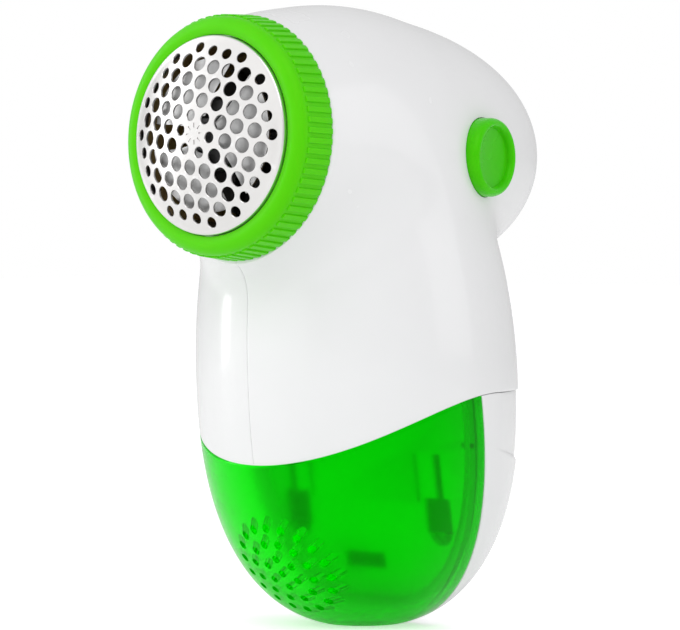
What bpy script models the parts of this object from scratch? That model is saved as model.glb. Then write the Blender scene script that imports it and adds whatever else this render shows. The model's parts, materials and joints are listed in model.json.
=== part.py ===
"""Battery fabric shaver with a clamp-ring foil, a push button, a lint bin and a battery door.

Metres, +Z up. The origin is the centre of the flat base, the foil faces -Y and the button +X.
"""
import math

import bmesh
import bpy
import numpy as np
from mathutils import Matrix, Vector

MM = 0.001
GAP = 0.3 * MM                          # between solids that touch on the real object

# Head: an ovoid turned about an axis that starts at the clamp ring and runs back
HEAD_START_Y = -38.5 * MM
HEAD_START_Z = 102.5 * MM
HEAD_TILT = math.radians(3.0)           # the axis falls towards the back
NECK_RADIUS = 25.1 * MM
HEAD_RADIUS = 28.8 * MM
HEAD_BELLY = 25.4 * MM                  # from the ring to the widest place
HEAD_TAIL = 59.8 * MM                   # from the widest place to the back end
HEAD_POWER = 2.3

# Grip: an egg that stands on its small end, a little narrower than it is deep
GRIP_DEPTH = 34.6 * MM                  # half the depth at its widest
GRIP_ROUND = 0.975                      # half width over half depth
GRIP_MIDDLE = 51.5 * MM
GRIP_BELOW = 52.2 * MM
GRIP_ABOVE = 71.0 * MM
GRIP_POWER = 2.4

BLEND_FRONT = 8.0 * MM                  # how softly the grip grows into the head
BLEND_BACK = 3.0 * MM
WALL = 2.2 * MM
BOWL_WALL = 1.8 * MM                    # of the lint bin and the battery door
BOWL_FLOOR = 2.9 * MM

# The S-curve under the housing, and the slanted plane between bin and door
SEAM_FRONT_Y = -35.4 * MM
SEAM_FRONT_Z = 34.5 * MM
SEAM_RISE = 15.3 * MM
SEAM_RUN = 40.0 * MM
SPLIT_Y = -1.2 * MM                     # the plane's y at the height SPLIT_Z
SPLIT_Z = 48.0 * MM
SPLIT_LEAN = math.radians(9.1)

COLUMNS = 18                            # faces round half of a section
HEAD_ANGLES = (0, 10, 20, 31, 42, 53, 63, 71, 76.5, 80.5, 83, 85, 87)
GRIP_LEVELS = (0.16, 0.36, 0.58, 0.80, 1.0)
BOWL_LEVELS = (0, 0.18, 0.36, 0.52, 0.66, 0.78, 0.88, 0.95, 1.0)
ROUND = 24                              # faces round a turned piece

# Cutter head, along the head's axis; heights are forward of the ring's back plane
RING_BORE = 22.4 * MM
LIP_RADIUS = 20.8 * MM
FOIL_RADIUS = 20.45 * MM
FOIL_TOP = 14.2 * MM
FOIL_SAG = 4.55 * MM                    # from the middle of the dome to its edge
HOLE_PITCH = 4.0 * MM
HOLE_TURN = math.radians(48.7)
HOLE_RADIUS = 1.55 * MM
CHAMBER_RADIUS = 21.5 * MM
CHAMBER_BACK = -12.0 * MM
BLADE_RADIUS = 15.8 * MM
BLADE_HEIGHT = 8.6 * MM
MOTOR_RADIUS = 12.0 * MM
MOTOR_FRONT = -14.4 * MM
MOTOR_BACK = -36.0 * MM
MOTOR_SCREW_RADIUS = 8.0 * MM

# Button, on an axis that points out of the head's right side
BUTTON_PLACE = Vector((27.6 * MM, 6.9 * MM, 98.7 * MM))
BUTTON_TURN = math.radians(8.0)
BUTTON_RADIUS = 8.25 * MM
BUTTON_PROUD = 3.2 * MM

# Cells, AA size
CELL_RADIUS = 7.25 * MM
CELL_BOTTOM = 16.6 * MM
CELL_LENGTH = 50.5 * MM
CELL_X = 7.75 * MM
CELL_Y = 15.3 * MM

HOUSING_SCREWS = ((22.0 * MM, 97.0 * MM), (-8.0 * MM, 79.5 * MM), (-8.5 * MM, 56.0 * MM))


# ---------------------------------------------------------------- scene

def clear_scene():
    for thing in list(bpy.data.objects):
        bpy.data.objects.remove(thing, do_unlink=True)


def new_collection(name):
    collection = bpy.data.collections.new(name)
    bpy.context.scene.collection.children.link(collection)
    return collection


def material(name, colour, roughness, metallic=0.0, alpha=1.0):
    made = bpy.data.materials.new(name)
    made.use_nodes = True
    shader = made.node_tree.nodes["Principled BSDF"]
    shader.inputs["Base Color"].default_value = (*colour, 1.0)
    shader.inputs["Roughness"].default_value = roughness
    shader.inputs["Metallic"].default_value = metallic
    shader.inputs["Alpha"].default_value = alpha
    made.diffuse_color = (*colour, alpha)
    made.roughness = roughness
    made.metallic = metallic
    return made


clear_scene()
PARTS = new_collection("fabric_shaver")
CUTTERS = new_collection("cutters")

WHITE = material("white_gloss_plastic", (0.86, 0.86, 0.87), 0.22)
INNER_WHITE = material("white_inner_plastic", (0.80, 0.80, 0.78), 0.5)
GREEN = material("green_satin_plastic", (0.10, 0.72, 0.02), 0.42)
CLEAR_GREEN = material("clear_green_plastic", (0.01, 0.60, 0.02), 0.15, alpha=0.6)
CHROME = material("foil_steel", (0.86, 0.86, 0.86), 0.12, 1.0)
STEEL = material("spring_steel", (0.62, 0.62, 0.63), 0.3, 1.0)
BLACK = material("black_plastic", (0.03, 0.03, 0.03), 0.5)
RED_WIRE = material("red_insulation", (0.55, 0.02, 0.02), 0.45)
BLACK_WIRE = material("black_insulation", (0.02, 0.02, 0.02), 0.45)
CELL_WRAP = material("cell_wrap", (0.05, 0.20, 0.10), 0.35)


def add_object(name, mesh, finish, place=None, collection=None):
    """Link an object whose location and rotation are the matrix place, under nothing."""
    made = bpy.data.objects.new(name, mesh)
    (collection or PARTS).objects.link(made)
    made.matrix_world = place or Matrix.Identity(4)
    if finish is not None:
        mesh.materials.append(finish)
    return made


def shade(thing, angle=40):
    thing.data.shade_smooth()
    thing.data.set_sharp_from_angle(angle=math.radians(angle))


def as_cutter(thing):
    thing.hide_render = True
    thing.display_type = "WIRE"
    return thing


def boolean(thing, cutter, operation="DIFFERENCE"):
    step = thing.modifiers.new(operation.lower() + "_" + cutter.name, "BOOLEAN")
    step.operation = operation
    step.object = cutter
    step.solver = "EXACT"


def axis_empty(name, place):
    empty = bpy.data.objects.new(name, None)
    PARTS.objects.link(empty)
    empty.matrix_world = place
    empty.empty_display_size = 0.01
    return empty


def parent_all(empty, *things):
    bpy.context.view_layer.update()
    for thing in things:
        thing.parent = empty
        thing.matrix_parent_inverse = empty.matrix_world.inverted()


# ---------------------------------------------------------------- plain solids

def box(name, low, high, finish, place=None, bevel=0.0, collection=None):
    """A box between two corners in the frame of place."""
    low, high = Vector(low), Vector(high)
    work = bmesh.new()
    bmesh.ops.create_cube(work, size=1.0)
    bmesh.ops.scale(work, vec=high - low, verts=work.verts)
    bmesh.ops.translate(work, vec=(high + low) / 2, verts=work.verts)
    mesh = bpy.data.meshes.new(name)
    work.to_mesh(mesh)
    work.free()
    made = add_object(name, mesh, finish, place, collection)
    if bevel:
        step = made.modifiers.new("bevel", "BEVEL")
        step.width = bevel
        step.segments = 1
    return made


def rod(name, radius, low, high, finish, place=None, sides=16, collection=None):
    """A cylinder along the local Z axis of place, from low to high."""
    work = bmesh.new()
    bmesh.ops.create_cone(work, cap_ends=True, segments=sides, radius1=radius, radius2=radius,
                          depth=high - low)
    bmesh.ops.translate(work, vec=(0, 0, (high + low) / 2), verts=work.verts)
    mesh = bpy.data.meshes.new(name)
    work.to_mesh(mesh)
    work.free()
    return add_object(name, mesh, finish, place, collection)


def turned(name, profile, finish, place=None, closed=False, steps=ROUND, collection=None):
    """Turn a profile of (radius, height) in millimetres, listed down its outer side."""
    points = [(radius * MM, 0.0, height * MM) for radius, height in profile]
    edges = [(i, i + 1) for i in range(len(points) - 1)]
    if closed:
        edges.append((len(points) - 1, 0))
    mesh = bpy.data.meshes.new(name)
    mesh.from_pydata(points, edges, [])
    made = add_object(name, mesh, finish, place, collection)
    step = made.modifiers.new("screw", "SCREW")
    step.axis = "Z"
    step.steps = steps
    step.render_steps = steps
    step.use_merge_vertices = True
    step.merge_threshold = 0.00001
    step.use_smooth_shade = True
    return made


def tube(name, points, radius, finish, place=None, resolution=2):
    """A round wire through the points, with flat ends."""
    curve = bpy.data.curves.new(name, "CURVE")
    curve.dimensions = "3D"
    curve.bevel_depth = radius
    curve.bevel_resolution = resolution
    curve.use_fill_caps = True
    spline = curve.splines.new("POLY")
    spline.points.add(len(points) - 1)
    for point, where in zip(spline.points, points):
        point.co = (*where, 1.0)
    return add_object(name, curve, finish, place)


def smooth_route(knots, count):
    """Points along a Catmull-Rom curve through the knots."""
    knots = [Vector(knot) for knot in knots]
    ends = [2 * knots[0] - knots[1]] + knots + [2 * knots[-1] - knots[-2]]
    route = []
    for i in range(count):
        along = i / (count - 1) * (len(knots) - 1)
        k = min(int(along), len(knots) - 2)
        t = along - k
        a, b, c, d = ends[k:k + 4]
        route.append(0.5 * (2 * b + (c - a) * t + (2 * a - 5 * b + 4 * c - d) * t ** 2
                            + (3 * b - a - 3 * c + d) * t ** 3))
    return route


def coil_points(radius, low, high, turns, per_turn=8):
    count = int(turns * per_turn) + 1
    points = []
    for i in range(count):
        share = i / (count - 1)
        angle = math.tau * turns * share
        points.append((radius * math.cos(angle), radius * math.sin(angle), low + (high - low) * share))
    return points


# ---------------------------------------------------------------- the body's outer shape

def head_gap(x, y, z):
    """Roughly the distance outside the head, negative inside; arrays in metres."""
    cos, sin = math.cos(HEAD_TILT), math.sin(HEAD_TILT)
    along = (y - HEAD_START_Y) * cos - (z - HEAD_START_Z) * sin
    across = (y - HEAD_START_Y) * sin + (z - HEAD_START_Z) * cos
    radius = np.hypot(x, across)
    lead = np.clip((HEAD_BELLY - along) / HEAD_BELLY, 0, 2)
    front = radius - (HEAD_RADIUS - (HEAD_RADIUS - NECK_RADIUS) * lead ** 2)
    tail = np.clip(along - HEAD_BELLY, 0, None) / HEAD_TAIL
    size = ((radius / HEAD_RADIUS) ** HEAD_POWER + tail ** HEAD_POWER) ** (1 / HEAD_POWER)
    return np.where(along < HEAD_BELLY, front, (size - 1) * HEAD_RADIUS)


def grip_centre(z):
    return 0.2 * MM - 0.02 * z - 0.37 * z ** 2


def grip_gap(x, y, z):
    radius = np.hypot(x / GRIP_ROUND, y - grip_centre(z))
    below = np.clip(GRIP_MIDDLE - z, 0, None) / GRIP_BELOW
    above = np.clip(z - GRIP_MIDDLE, 0, None) / GRIP_ABOVE
    across = radius / GRIP_DEPTH
    low = (across ** GRIP_POWER + below ** GRIP_POWER) ** (1 / GRIP_POWER)
    high = np.hypot(across, above)
    return (np.where(z < GRIP_MIDDLE, low, high) - 1) * GRIP_DEPTH


def body_gap(x, y, z):
    """Head and grip joined with a rounded valley that is tighter at the back."""
    back = np.clip((y + 5 * MM) / (30 * MM), 0, 1)
    reach = BLEND_FRONT + (BLEND_BACK - BLEND_FRONT) * back ** 2 * (3 - 2 * back)
    head, grip = head_gap(x, y, z), grip_gap(x, y, z)
    share = np.clip(0.5 + 0.5 * (grip - head) / reach, 0, 1)
    return grip + (head - grip) * share - reach * share * (1 - share)


def seam_height(y):
    along = np.clip((y - SEAM_FRONT_Y) / SEAM_RUN, 0, 1)
    return SEAM_FRONT_Z + SEAM_RISE * np.sin(math.pi / 2 * along)


def surface_row(place, depth, start, far):
    """Where each ray of place(r) leaves the body sunk by depth, between radii start and far."""
    inside, outside = start.copy(), far.copy()
    for _ in range(36):
        middle = (inside + outside) / 2
        solid = body_gap(*place(middle)) < -depth
        inside = np.where(solid, middle, inside)
        outside = np.where(solid, outside, middle)
    return np.stack(place(inside), axis=-1)


def head_row(angle, turn, depth):
    """A section on a plane that folds about a line in front of the neck, like an elbow's."""
    cos, sin = math.cos(HEAD_TILT), math.sin(HEAD_TILT)
    fold_y, fold_z = HEAD_START_Y - 29 * MM * sin, HEAD_START_Z - 29 * MM * cos
    out_y, out_z = math.sin(angle + HEAD_TILT), math.cos(angle + HEAD_TILT)

    def spoke(r):
        return np.zeros_like(r), fold_y + r * out_y, fold_z + r * out_z

    ends = surface_row(spoke, depth, np.array([30 * MM, 30 * MM]), np.array([0.0, 130 * MM]))
    middle = ends.mean(axis=0)

    def place(r):
        return (r * np.sin(turn), middle[1] + r * np.cos(turn) * out_y,
                middle[2] + r * np.cos(turn) * out_z)

    return surface_row(place, depth, np.zeros_like(turn), np.full_like(turn, 70 * MM))


def grip_row(top, share, turn, depth):
    """A section between the flat height top and the S-curve, share of the way down."""
    def place(r):
        y = grip_centre(top) + r * np.cos(turn)
        return r * np.sin(turn), y, top + (seam_height(y) - top) * share
    return surface_row(place, depth, np.zeros_like(turn), np.full_like(turn, 45 * MM))


def bowl_row(share, floor, turn, depth):
    """A section between the S-curve and the height floor, share of the way down."""
    def place(r):
        y = r * np.cos(turn)
        return r * np.sin(turn), y, (seam_height(y) - GAP) * (1 - share) + floor * share
    return surface_row(place, depth, np.zeros_like(turn), np.full_like(turn, 45 * MM))


def housing_rows(turn, depth):
    rows = [head_row(math.radians(angle), turn, depth) for angle in HEAD_ANGLES]
    top = HEAD_START_Z - 29 * MM * math.cos(HEAD_TILT)
    return rows + [grip_row(top, share, turn, depth) for share in GRIP_LEVELS]


def loft(name, rows, finish, wrap, cap_first, cap_last, place=None, collection=None):
    """Skin rows of equal length; wrap joins each row's ends, caps close the first and last."""
    work = bmesh.new()
    grid = [[work.verts.new(point) for point in row] for row in rows]
    count = len(grid[0])
    for upper, lower in zip(grid, grid[1:]):
        for i in range(count if wrap else count - 1):
            j = (i + 1) % count
            work.faces.new((upper[i], upper[j], lower[j], lower[i]))
    if cap_first:
        work.faces.new(grid[0])
    if cap_last:
        work.faces.new(grid[-1])
    return finish_mesh(name, work, finish, place, collection)


def loft_shell(name, outer, inner, finish, wrap, capped=False, collection=None):
    """A wall between two skins: an open tube or half tube, or a cup where capped."""
    work = bmesh.new()
    skins = [[[work.verts.new(point) for point in row] for row in rows] for rows in (outer, inner)]
    count = len(outer[0])
    pairs = [(i, (i + 1) % count) for i in range(count if wrap else count - 1)]
    for grid in skins:
        for upper, lower in zip(grid, grid[1:]):
            for i, j in pairs:
                work.faces.new((upper[i], upper[j], lower[j], lower[i]))
        if capped:
            work.faces.new(grid[-1])
    for row in (0,) if capped else (0, -1):
        for i, j in pairs:
            work.faces.new((skins[0][row][i], skins[0][row][j], skins[1][row][j], skins[1][row][i]))
    if not wrap:
        for k in range(len(outer) - 1):
            for side in (0, -1):
                work.faces.new((skins[0][k][side], skins[0][k + 1][side],
                                skins[1][k + 1][side], skins[1][k][side]))
    return finish_mesh(name, work, finish, None, collection)


def finish_mesh(name, work, finish, place=None, collection=None):
    bmesh.ops.recalc_face_normals(work, faces=work.faces)
    mesh = bpy.data.meshes.new(name)
    work.to_mesh(mesh)
    work.free()
    made = add_object(name, mesh, finish, place, collection)
    shade(made)
    return made


# ---------------------------------------------------------------- frames that pieces are placed in

HEAD_AXIS = (Matrix.Translation((0, HEAD_START_Y, HEAD_START_Z))
             @ Matrix.Rotation(math.radians(90) - HEAD_TILT, 4, "X"))
BUTTON_AXIS = (Matrix.Translation(BUTTON_PLACE) @ Matrix.Rotation(BUTTON_TURN, 4, "Z")
               @ Matrix.Rotation(math.radians(90), 4, "Y"))
SPLIT_PLANE = Matrix.Translation((0, SPLIT_Y, SPLIT_Z)) @ Matrix.Rotation(SPLIT_LEAN, 4, "X")


# ---------------------------------------------------------------- housing

def housing_half(name, side):
    """One half shell; side is 1 for the right half and -1 for the left."""
    turn = np.linspace(0, math.pi, COLUMNS + 1)
    skins = []
    for depth in (0.0, WALL):
        rows = housing_rows(turn, depth)
        for row in rows:
            row[:, 0] = side * np.maximum(row[:, 0], GAP / 2)
        skins.append(rows)
    return loft_shell(name, skins[0], skins[1], WHITE, wrap=False)


def across(y, z):
    """A frame at x = 0 whose Z axis is the object's +X."""
    return Matrix.Translation((0, y, z)) @ Matrix.Rotation(math.radians(90), 4, "Y")


def half_width(y, z):
    """Half the inner width of the housing at a place on the mid-plane."""
    def place(r):
        return r, np.full_like(r, y), np.full_like(r, z)
    return float(surface_row(place, WALL, np.array([0.0]), np.array([40 * MM]))[0, 0])


def make_housing():
    right = housing_half("housing_right", 1)
    left = housing_half("housing_left", -1)
    boolean(right, as_cutter(rod("button_hole", BUTTON_RADIUS + 0.35 * MM, -8 * MM, 8 * MM, None,
                                 BUTTON_AXIS, sides=ROUND, collection=CUTTERS)))
    for number, (y, z) in enumerate(HOUSING_SCREWS, start=1):
        place = across(y, z)
        reach = half_width(y, z)
        boss = rod(f"boss_right_{number}", 3.0 * MM, GAP / 2, reach + 0.9 * MM, None, place,
                   sides=10, collection=CUTTERS)
        boolean(right, as_cutter(boss), "UNION")
        pilot = rod(f"pilot_{number}", 1.4 * MM, -2 * MM, 7.3 * MM, None, place,
                    sides=8, collection=CUTTERS)
        boolean(right, as_cutter(pilot))
        boss = rod(f"boss_left_{number}", 4.0 * MM, -reach - 0.9 * MM, -GAP / 2, None, place,
                   sides=12, collection=CUTTERS)
        boolean(left, as_cutter(boss), "UNION")
        bore = turned(f"screw_recess_{number}", ((0, -3), (2.9, -3), (2.9, -40), (0, -40)), None,
                      place, steps=12, collection=CUTTERS)
        boolean(left, as_cutter(bore))
        neck = rod(f"screw_neck_{number}", 1.5 * MM, -4 * MM, 2 * MM, None, place,
                   sides=8, collection=CUTTERS)
        boolean(left, as_cutter(neck))
        turned(f"housing_screw_{number}",
               ((0, 7), (1.1, 7), (1.1, -3.3), (2.5, -3.3), (2.5, -5.2), (0, -5.2)), STEEL,
               place, steps=12)


# ---------------------------------------------------------------- cutter head

def dome_height(radius):
    """Height of the foil's outer face at a radius, in millimetres."""
    return (FOIL_TOP - FOIL_SAG * (radius * MM / FOIL_RADIUS) ** 2) / MM


def hole_places():
    """The larger holes of the hexagonal field, ring by ring round the centre, in metres."""
    places = []
    for ring in range(2, 5):
        for side in range(6):
            for step in range(ring):
                a = HOLE_TURN + side * math.pi / 3
                b = a + math.tau / 3
                x = HOLE_PITCH * (ring * math.cos(a) + step * math.cos(b))
                y = HOLE_PITCH * (ring * math.sin(a) + step * math.sin(b))
                places.append((x, y))
    return places


def make_foil():
    reach, sheet = FOIL_RADIUS / MM, 0.5
    dome = [(radius, dome_height(radius)) for radius in (0, 5, 10, 15, 19.9)]
    outer = dome + [(reach, dome_height(reach) - 0.1), (reach, 7.5), (21.9, 7.5)]
    inner = [(21.9, 7.0), (reach - sheet, 7.0)]
    inner += [(radius, dome_height(radius) - sheet) for radius in (19.5, 15, 10, 5, 0)]
    foil = turned("foil", outer + inner, CHROME, HEAD_AXIS)
    work = bmesh.new()
    for x, y in hole_places():
        made = bmesh.ops.create_cone(work, cap_ends=True, segments=6, radius1=HOLE_RADIUS,
                                     radius2=HOLE_RADIUS, depth=8 * MM)
        bmesh.ops.translate(work, vec=(x, y, 12 * MM), verts=made["verts"])
    mesh = bpy.data.meshes.new("foil_holes")
    work.to_mesh(mesh)
    work.free()
    boolean(foil, as_cutter(add_object("foil_holes", mesh, None, HEAD_AXIS, CUTTERS)))
    return foil


def make_ring():
    lip, bore = LIP_RADIUS / MM, RING_BORE / MM
    profile = ((lip, 8.9), (22.2, 9.15), (23.4, 8.9), (24.5, 8.0), (24.9, 6.8), (25.35, GAP / MM),
               (bore, GAP / MM), (bore, 7.85), (lip, 7.85))
    return turned("clamp_ring", profile, GREEN, HEAD_AXIS, closed=True, steps=36)


def motor_screw_places():
    return [HEAD_AXIS @ Matrix.Translation((side * MOTOR_SCREW_RADIUS, 0, 0)) for side in (-1, 1)]


def make_chamber():
    wide, back = CHAMBER_RADIUS / MM, CHAMBER_BACK / MM
    flange, bore = wide + 0.9, wide - 1.5
    chamber = turned("cutter_chamber",
                     ((wide, 6.6), (wide, -1), (flange, -1), (flange, -2.6), (wide, -2.6), (wide, back),
                      (4.2, back), (4.2, back + 1.7), (bore, back + 1.7), (bore, 6.6)),
                     INNER_WHITE, HEAD_AXIS, closed=True)
    window = box("lint_window", (-10 * MM, -24 * MM, -11.5 * MM), (10 * MM, -15 * MM, -4.5 * MM),
                 None, HEAD_AXIS, collection=CUTTERS)
    boolean(chamber, as_cutter(window))
    bracket = turned("motor_bracket", ((20, -12.4), (20, -14.0), (4.2, -14.0), (4.2, -12.4)),
                     INNER_WHITE, HEAD_AXIS, closed=True, steps=20)
    for number, place in enumerate(motor_screw_places(), start=1):
        hole = as_cutter(rod(f"motor_screw_hole_{number}", 1.5 * MM, -18.5 * MM, 0, None, place,
                             sides=8, collection=CUTTERS))
        boolean(chamber, hole)
        boolean(bracket, hole)
        turned(f"bracket_screw_{number}",
               ((0, -8.9), (2.1, -8.9), (2.1, -10.0), (1.1, -10.0), (1.1, -18.0), (0, -18.0)),
               STEEL, place, steps=10)
    return chamber


def make_duct():
    """A flat tube that leads from the chamber's window down to the top of the bin."""
    turn = np.linspace(0, math.tau, 16, endpoint=False)
    skins = []
    for wall in (0.0, 1.2 * MM):
        rows = []
        for share in (0, 0.35, 0.7, 1.0):
            y = (-30.2 + 10.4 * share) * MM
            z = (80.0 - 29.0 * share) * MM
            width = (11.0 + 3.0 * share) * MM - wall
            depth = (4.4 + 3.4 * share) * MM - wall
            rows.append([(width * math.sin(t), y + depth * math.cos(t), z) for t in turn])
        skins.append(rows)
    return loft_shell("lint_duct", skins[0], skins[1], INNER_WHITE, wrap=True)


def make_rotor():
    shaft = rod("motor_shaft", 1.0 * MM, MOTOR_BACK + 0.4 * MM, 1.0 * MM, STEEL, HEAD_AXIS, sides=12)
    fan = turned("fan", ((0, -2.8), (3.6, -2.8), (3.6, -6.4), (16.5, -6.4), (16.5, -7.6), (0, -7.6)),
                 BLACK, HEAD_AXIS, steps=24)
    for number in range(4):
        place = HEAD_AXIS @ Matrix.Rotation(number * math.pi / 4 + 0.1, 4, "Z")
        vane = box(f"fan_vanes_{number + 1}", (-16 * MM, -0.5 * MM, -6.9 * MM),
                   (16 * MM, 0.5 * MM, -3.4 * MM), None, place, collection=CUTTERS)
        boolean(fan, as_cutter(vane), "UNION")
    bore = as_cutter(rod("shaft_bore", 1.3 * MM, -9 * MM, 1.3 * MM, None, HEAD_AXIS, sides=12,
                         collection=CUTTERS))
    boolean(fan, bore)
    top = BLADE_HEIGHT / MM
    hub = turned("blade_hub", ((1.7, top - 0.6), (7.4, top - 0.6), (7.4, top - 2.4), (4.4, top - 3.6),
                               (4.4, -2.4), (1.3, -2.4), (1.3, 1.4), (1.7, 1.6)),
                 BLACK, HEAD_AXIS, closed=True, steps=20)
    cap = turned("blade_cap", ((0, top + 1.9), (2.4, top + 1.7), (3.2, top + 0.7), (1.4, top + 0.7),
                               (1.4, 2.0), (0, 2.0)),
                 BLACK, HEAD_AXIS, steps=16)
    return [shaft, fan, hub, cap] + [make_blade(number) for number in (1, 2, 3)]


def make_blade(number):
    """A stamped wing: a broad sector of sheet steel, tapered to its root."""
    start = math.radians(120 * number + 71)
    sweep = math.radians(100)
    tip, root = BLADE_RADIUS, 3.6 * MM
    outline = [(root, start + 0.25), (12 * MM, start + 0.06)]
    outline += [(tip, start + sweep * k / 6) for k in range(7)]
    outline += [(root, start + sweep - 0.1)]
    curve = bpy.data.curves.new(f"blade_{number}", "CURVE")
    curve.dimensions = "2D"
    curve.fill_mode = "BOTH"
    curve.extrude = 0.3 * MM
    spline = curve.splines.new("POLY")
    spline.points.add(len(outline) - 1)
    for point, (radius, angle) in zip(spline.points, outline):
        point.co = (radius * math.cos(angle), radius * math.sin(angle), 0, 1)
    spline.use_cyclic_u = True
    return add_object(f"blade_{number}", curve, STEEL,
                      HEAD_AXIS @ Matrix.Translation((0, 0, BLADE_HEIGHT)))


def make_motor():
    front, back, radius = MOTOR_FRONT / MM, MOTOR_BACK / MM, MOTOR_RADIUS / MM
    can = turned("motor_can",
                 ((1.5, front + 1), (3.2, front + 1), (3.2, front), (radius, front), (radius, back),
                  (1.5, back)), STEEL, HEAD_AXIS, closed=True, steps=24)
    for number, place in enumerate(motor_screw_places(), start=1):
        boolean(can, as_cutter(rod(f"motor_thread_{number}", 1.4 * MM, -18.5 * MM, -13.9 * MM, None,
                                   place, sides=8, collection=CUTTERS)))
    turned("motor_end_cap", ((0, back - 0.3), (radius - 1, back - 0.3), (radius - 1, back - 4),
                             (3, back - 4), (3, back - 5.5), (0, back - 5.5)),
           BLACK, HEAD_AXIS, steps=24)
    for number, side in enumerate((-1, 1), start=1):
        box(f"motor_terminal_{number}", ((side * 6 - 1.2) * MM, -0.25 * MM, (back - 8.3) * MM),
            ((side * 6 + 1.2) * MM, 0.25 * MM, (back - 4.3) * MM), STEEL, HEAD_AXIS)


# ---------------------------------------------------------------- button and switch

def make_button():
    radius, proud = BUTTON_RADIUS / MM, BUTTON_PROUD / MM
    dish = [(radius * share, proud - 1.1 * (1 - share ** 2)) for share in (0, 0.35, 0.65)]
    profile = dish + [(radius - 1.7, proud - 0.05), (radius - 1.0, proud), (radius - 0.3, proud - 0.35),
                      (radius, proud - 1.0), (radius, -4.3), (9.5, -4.3), (9.5, -5.3), (3, -5.3),
                      (3, -9.0), (0, -9.0)]
    button = turned("power_button", profile, GREEN, BUTTON_AXIS)
    turned("button_guide", ((11.0, -5.6), (11.0, -10.5), (3.5, -10.5), (3.5, -9.5), (9.9, -9.5),
                            (9.9, -5.6)), INNER_WHITE, BUTTON_AXIS, closed=True)
    tube("button_spring", coil_points(6.2 * MM, -9.0 * MM, -5.9 * MM, 3), 0.25 * MM, STEEL,
         BUTTON_AXIS, resolution=1)
    body = box("switch_body", (-4 * MM, -4 * MM, -16.2 * MM), (4 * MM, 4 * MM, -12.3 * MM), BLACK,
               BUTTON_AXIS)
    well = rod("switch_well", 1.6 * MM, -15.6 * MM, -12 * MM, None, BUTTON_AXIS, sides=10,
               collection=CUTTERS)
    boolean(body, as_cutter(well))
    plunger = rod("switch_plunger", 1.2 * MM, -13.2 * MM, -9.3 * MM, GREEN, BUTTON_AXIS, sides=12)
    return [button, plunger]


# ---------------------------------------------------------------- lower grip

def slide_box(name, low, high):
    """A cutter in the frame of the split plane, where Y is square to it and Z runs up along it."""
    return as_cutter(box(name, low, high, None, SPLIT_PLANE, collection=CUTTERS))


def core(name, depth, top, bottom):
    """The solid left when the bowl and the housing above it are sunk by depth."""
    turn = np.linspace(0, math.tau, 2 * COLUMNS, endpoint=False)
    rows = []
    for z in np.linspace(top, bottom, 9):
        def place(r, z=z):
            return r * np.sin(turn), r * np.cos(turn), np.full_like(r, z)
        rows.append(surface_row(place, depth, np.zeros_like(turn), np.full_like(turn, 45 * MM)))
    return as_cutter(loft(name, rows, None, wrap=True, cap_first=True, cap_last=True,
                          collection=CUTTERS))


def bowl(name, finish):
    """The whole lower end of the grip as a cup, before the split plane divides it."""
    turn = np.linspace(0, math.tau, 2 * COLUMNS, endpoint=False)
    outer = [bowl_row(share, 0.0, turn, 0.0) for share in BOWL_LEVELS]
    inner = [bowl_row(share, BOWL_FLOOR, turn, BOWL_WALL) for share in BOWL_LEVELS]
    return loft_shell(name, outer, inner, finish, wrap=True, capped=True)


def vent_places():
    """Holes in a round hexagonal patch, as steps across and up in metres."""
    pitch = 3.6 * MM
    places = []
    for row in range(-2, 3):
        for column in range(-3, 4):
            x, up = pitch * (column + (row % 2) / 2), pitch * row * math.sqrt(0.75)
            if math.hypot(x, up) < 2.1 * pitch:
                places.append((x, up))
    return places


def make_lower_grip():
    lint_bin = bowl("lint_bin", CLEAR_GREEN)
    boolean(lint_bin, slide_box("behind_the_split", (-0.05, -GAP / 2, -0.07), (0.05, 0.06, 0.03)))
    door = bowl("battery_door", WHITE)
    boolean(door, slide_box("before_the_split", (-0.05, -0.06, -0.07), (0.05, GAP / 2, 0.03)))

    vent_axis = (Matrix.Translation((0, -24.5 * MM, 12.5 * MM))
                 @ Matrix.Rotation(math.radians(90 + 38), 4, "X"))
    work = bmesh.new()
    for x, up in vent_places():
        made = bmesh.ops.create_cone(work, cap_ends=True, segments=6, radius1=0.9 * MM,
                                     radius2=0.9 * MM, depth=16 * MM)
        bmesh.ops.translate(work, vec=(x, up, 0), verts=made["verts"])
    mesh = bpy.data.meshes.new("vent_holes")
    work.to_mesh(mesh)
    work.free()
    boolean(lint_bin, as_cutter(add_object("vent_holes", mesh, None, vent_axis, CUTTERS)))

    chassis_core = core("chassis_core", 2.4 * MM, 68 * MM, 5 * MM)
    chassis = box("chassis", (-40 * MM, 0.4 * MM, -50 * MM), (40 * MM, 2.0 * MM, 19 * MM), INNER_WHITE,
                  SPLIT_PLANE)
    boolean(chassis, chassis_core, "INTERSECT")
    for number, side in enumerate((-1, 1), start=1):
        tongue = box(f"snap_tongue_{number}", ((side * 17.5 - 3.5) * MM, -1.0 * MM, -30 * MM),
                     ((side * 17.5 + 3.5) * MM, 1.0 * MM, -14 * MM), None, SPLIT_PLANE,
                     collection=CUTTERS)
        boolean(chassis, as_cutter(tongue), "UNION")

    tray = box("battery_tray", (-17.2 * MM, 6.7 * MM, 12.1 * MM), (17.2 * MM, 18 * MM, 73.5 * MM),
               INNER_WHITE)
    room = box("battery_room", (-15.5 * MM, 7.7 * MM, 13.6 * MM), (15.5 * MM, 30 * MM, 72 * MM), None,
               collection=CUTTERS)
    boolean(tray, as_cutter(room))
    boolean(tray, core("tray_core", 2.6 * MM, 74 * MM, 8 * MM), "INTERSECT")
    return lint_bin, door


# ---------------------------------------------------------------- cells, contacts and wires

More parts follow.
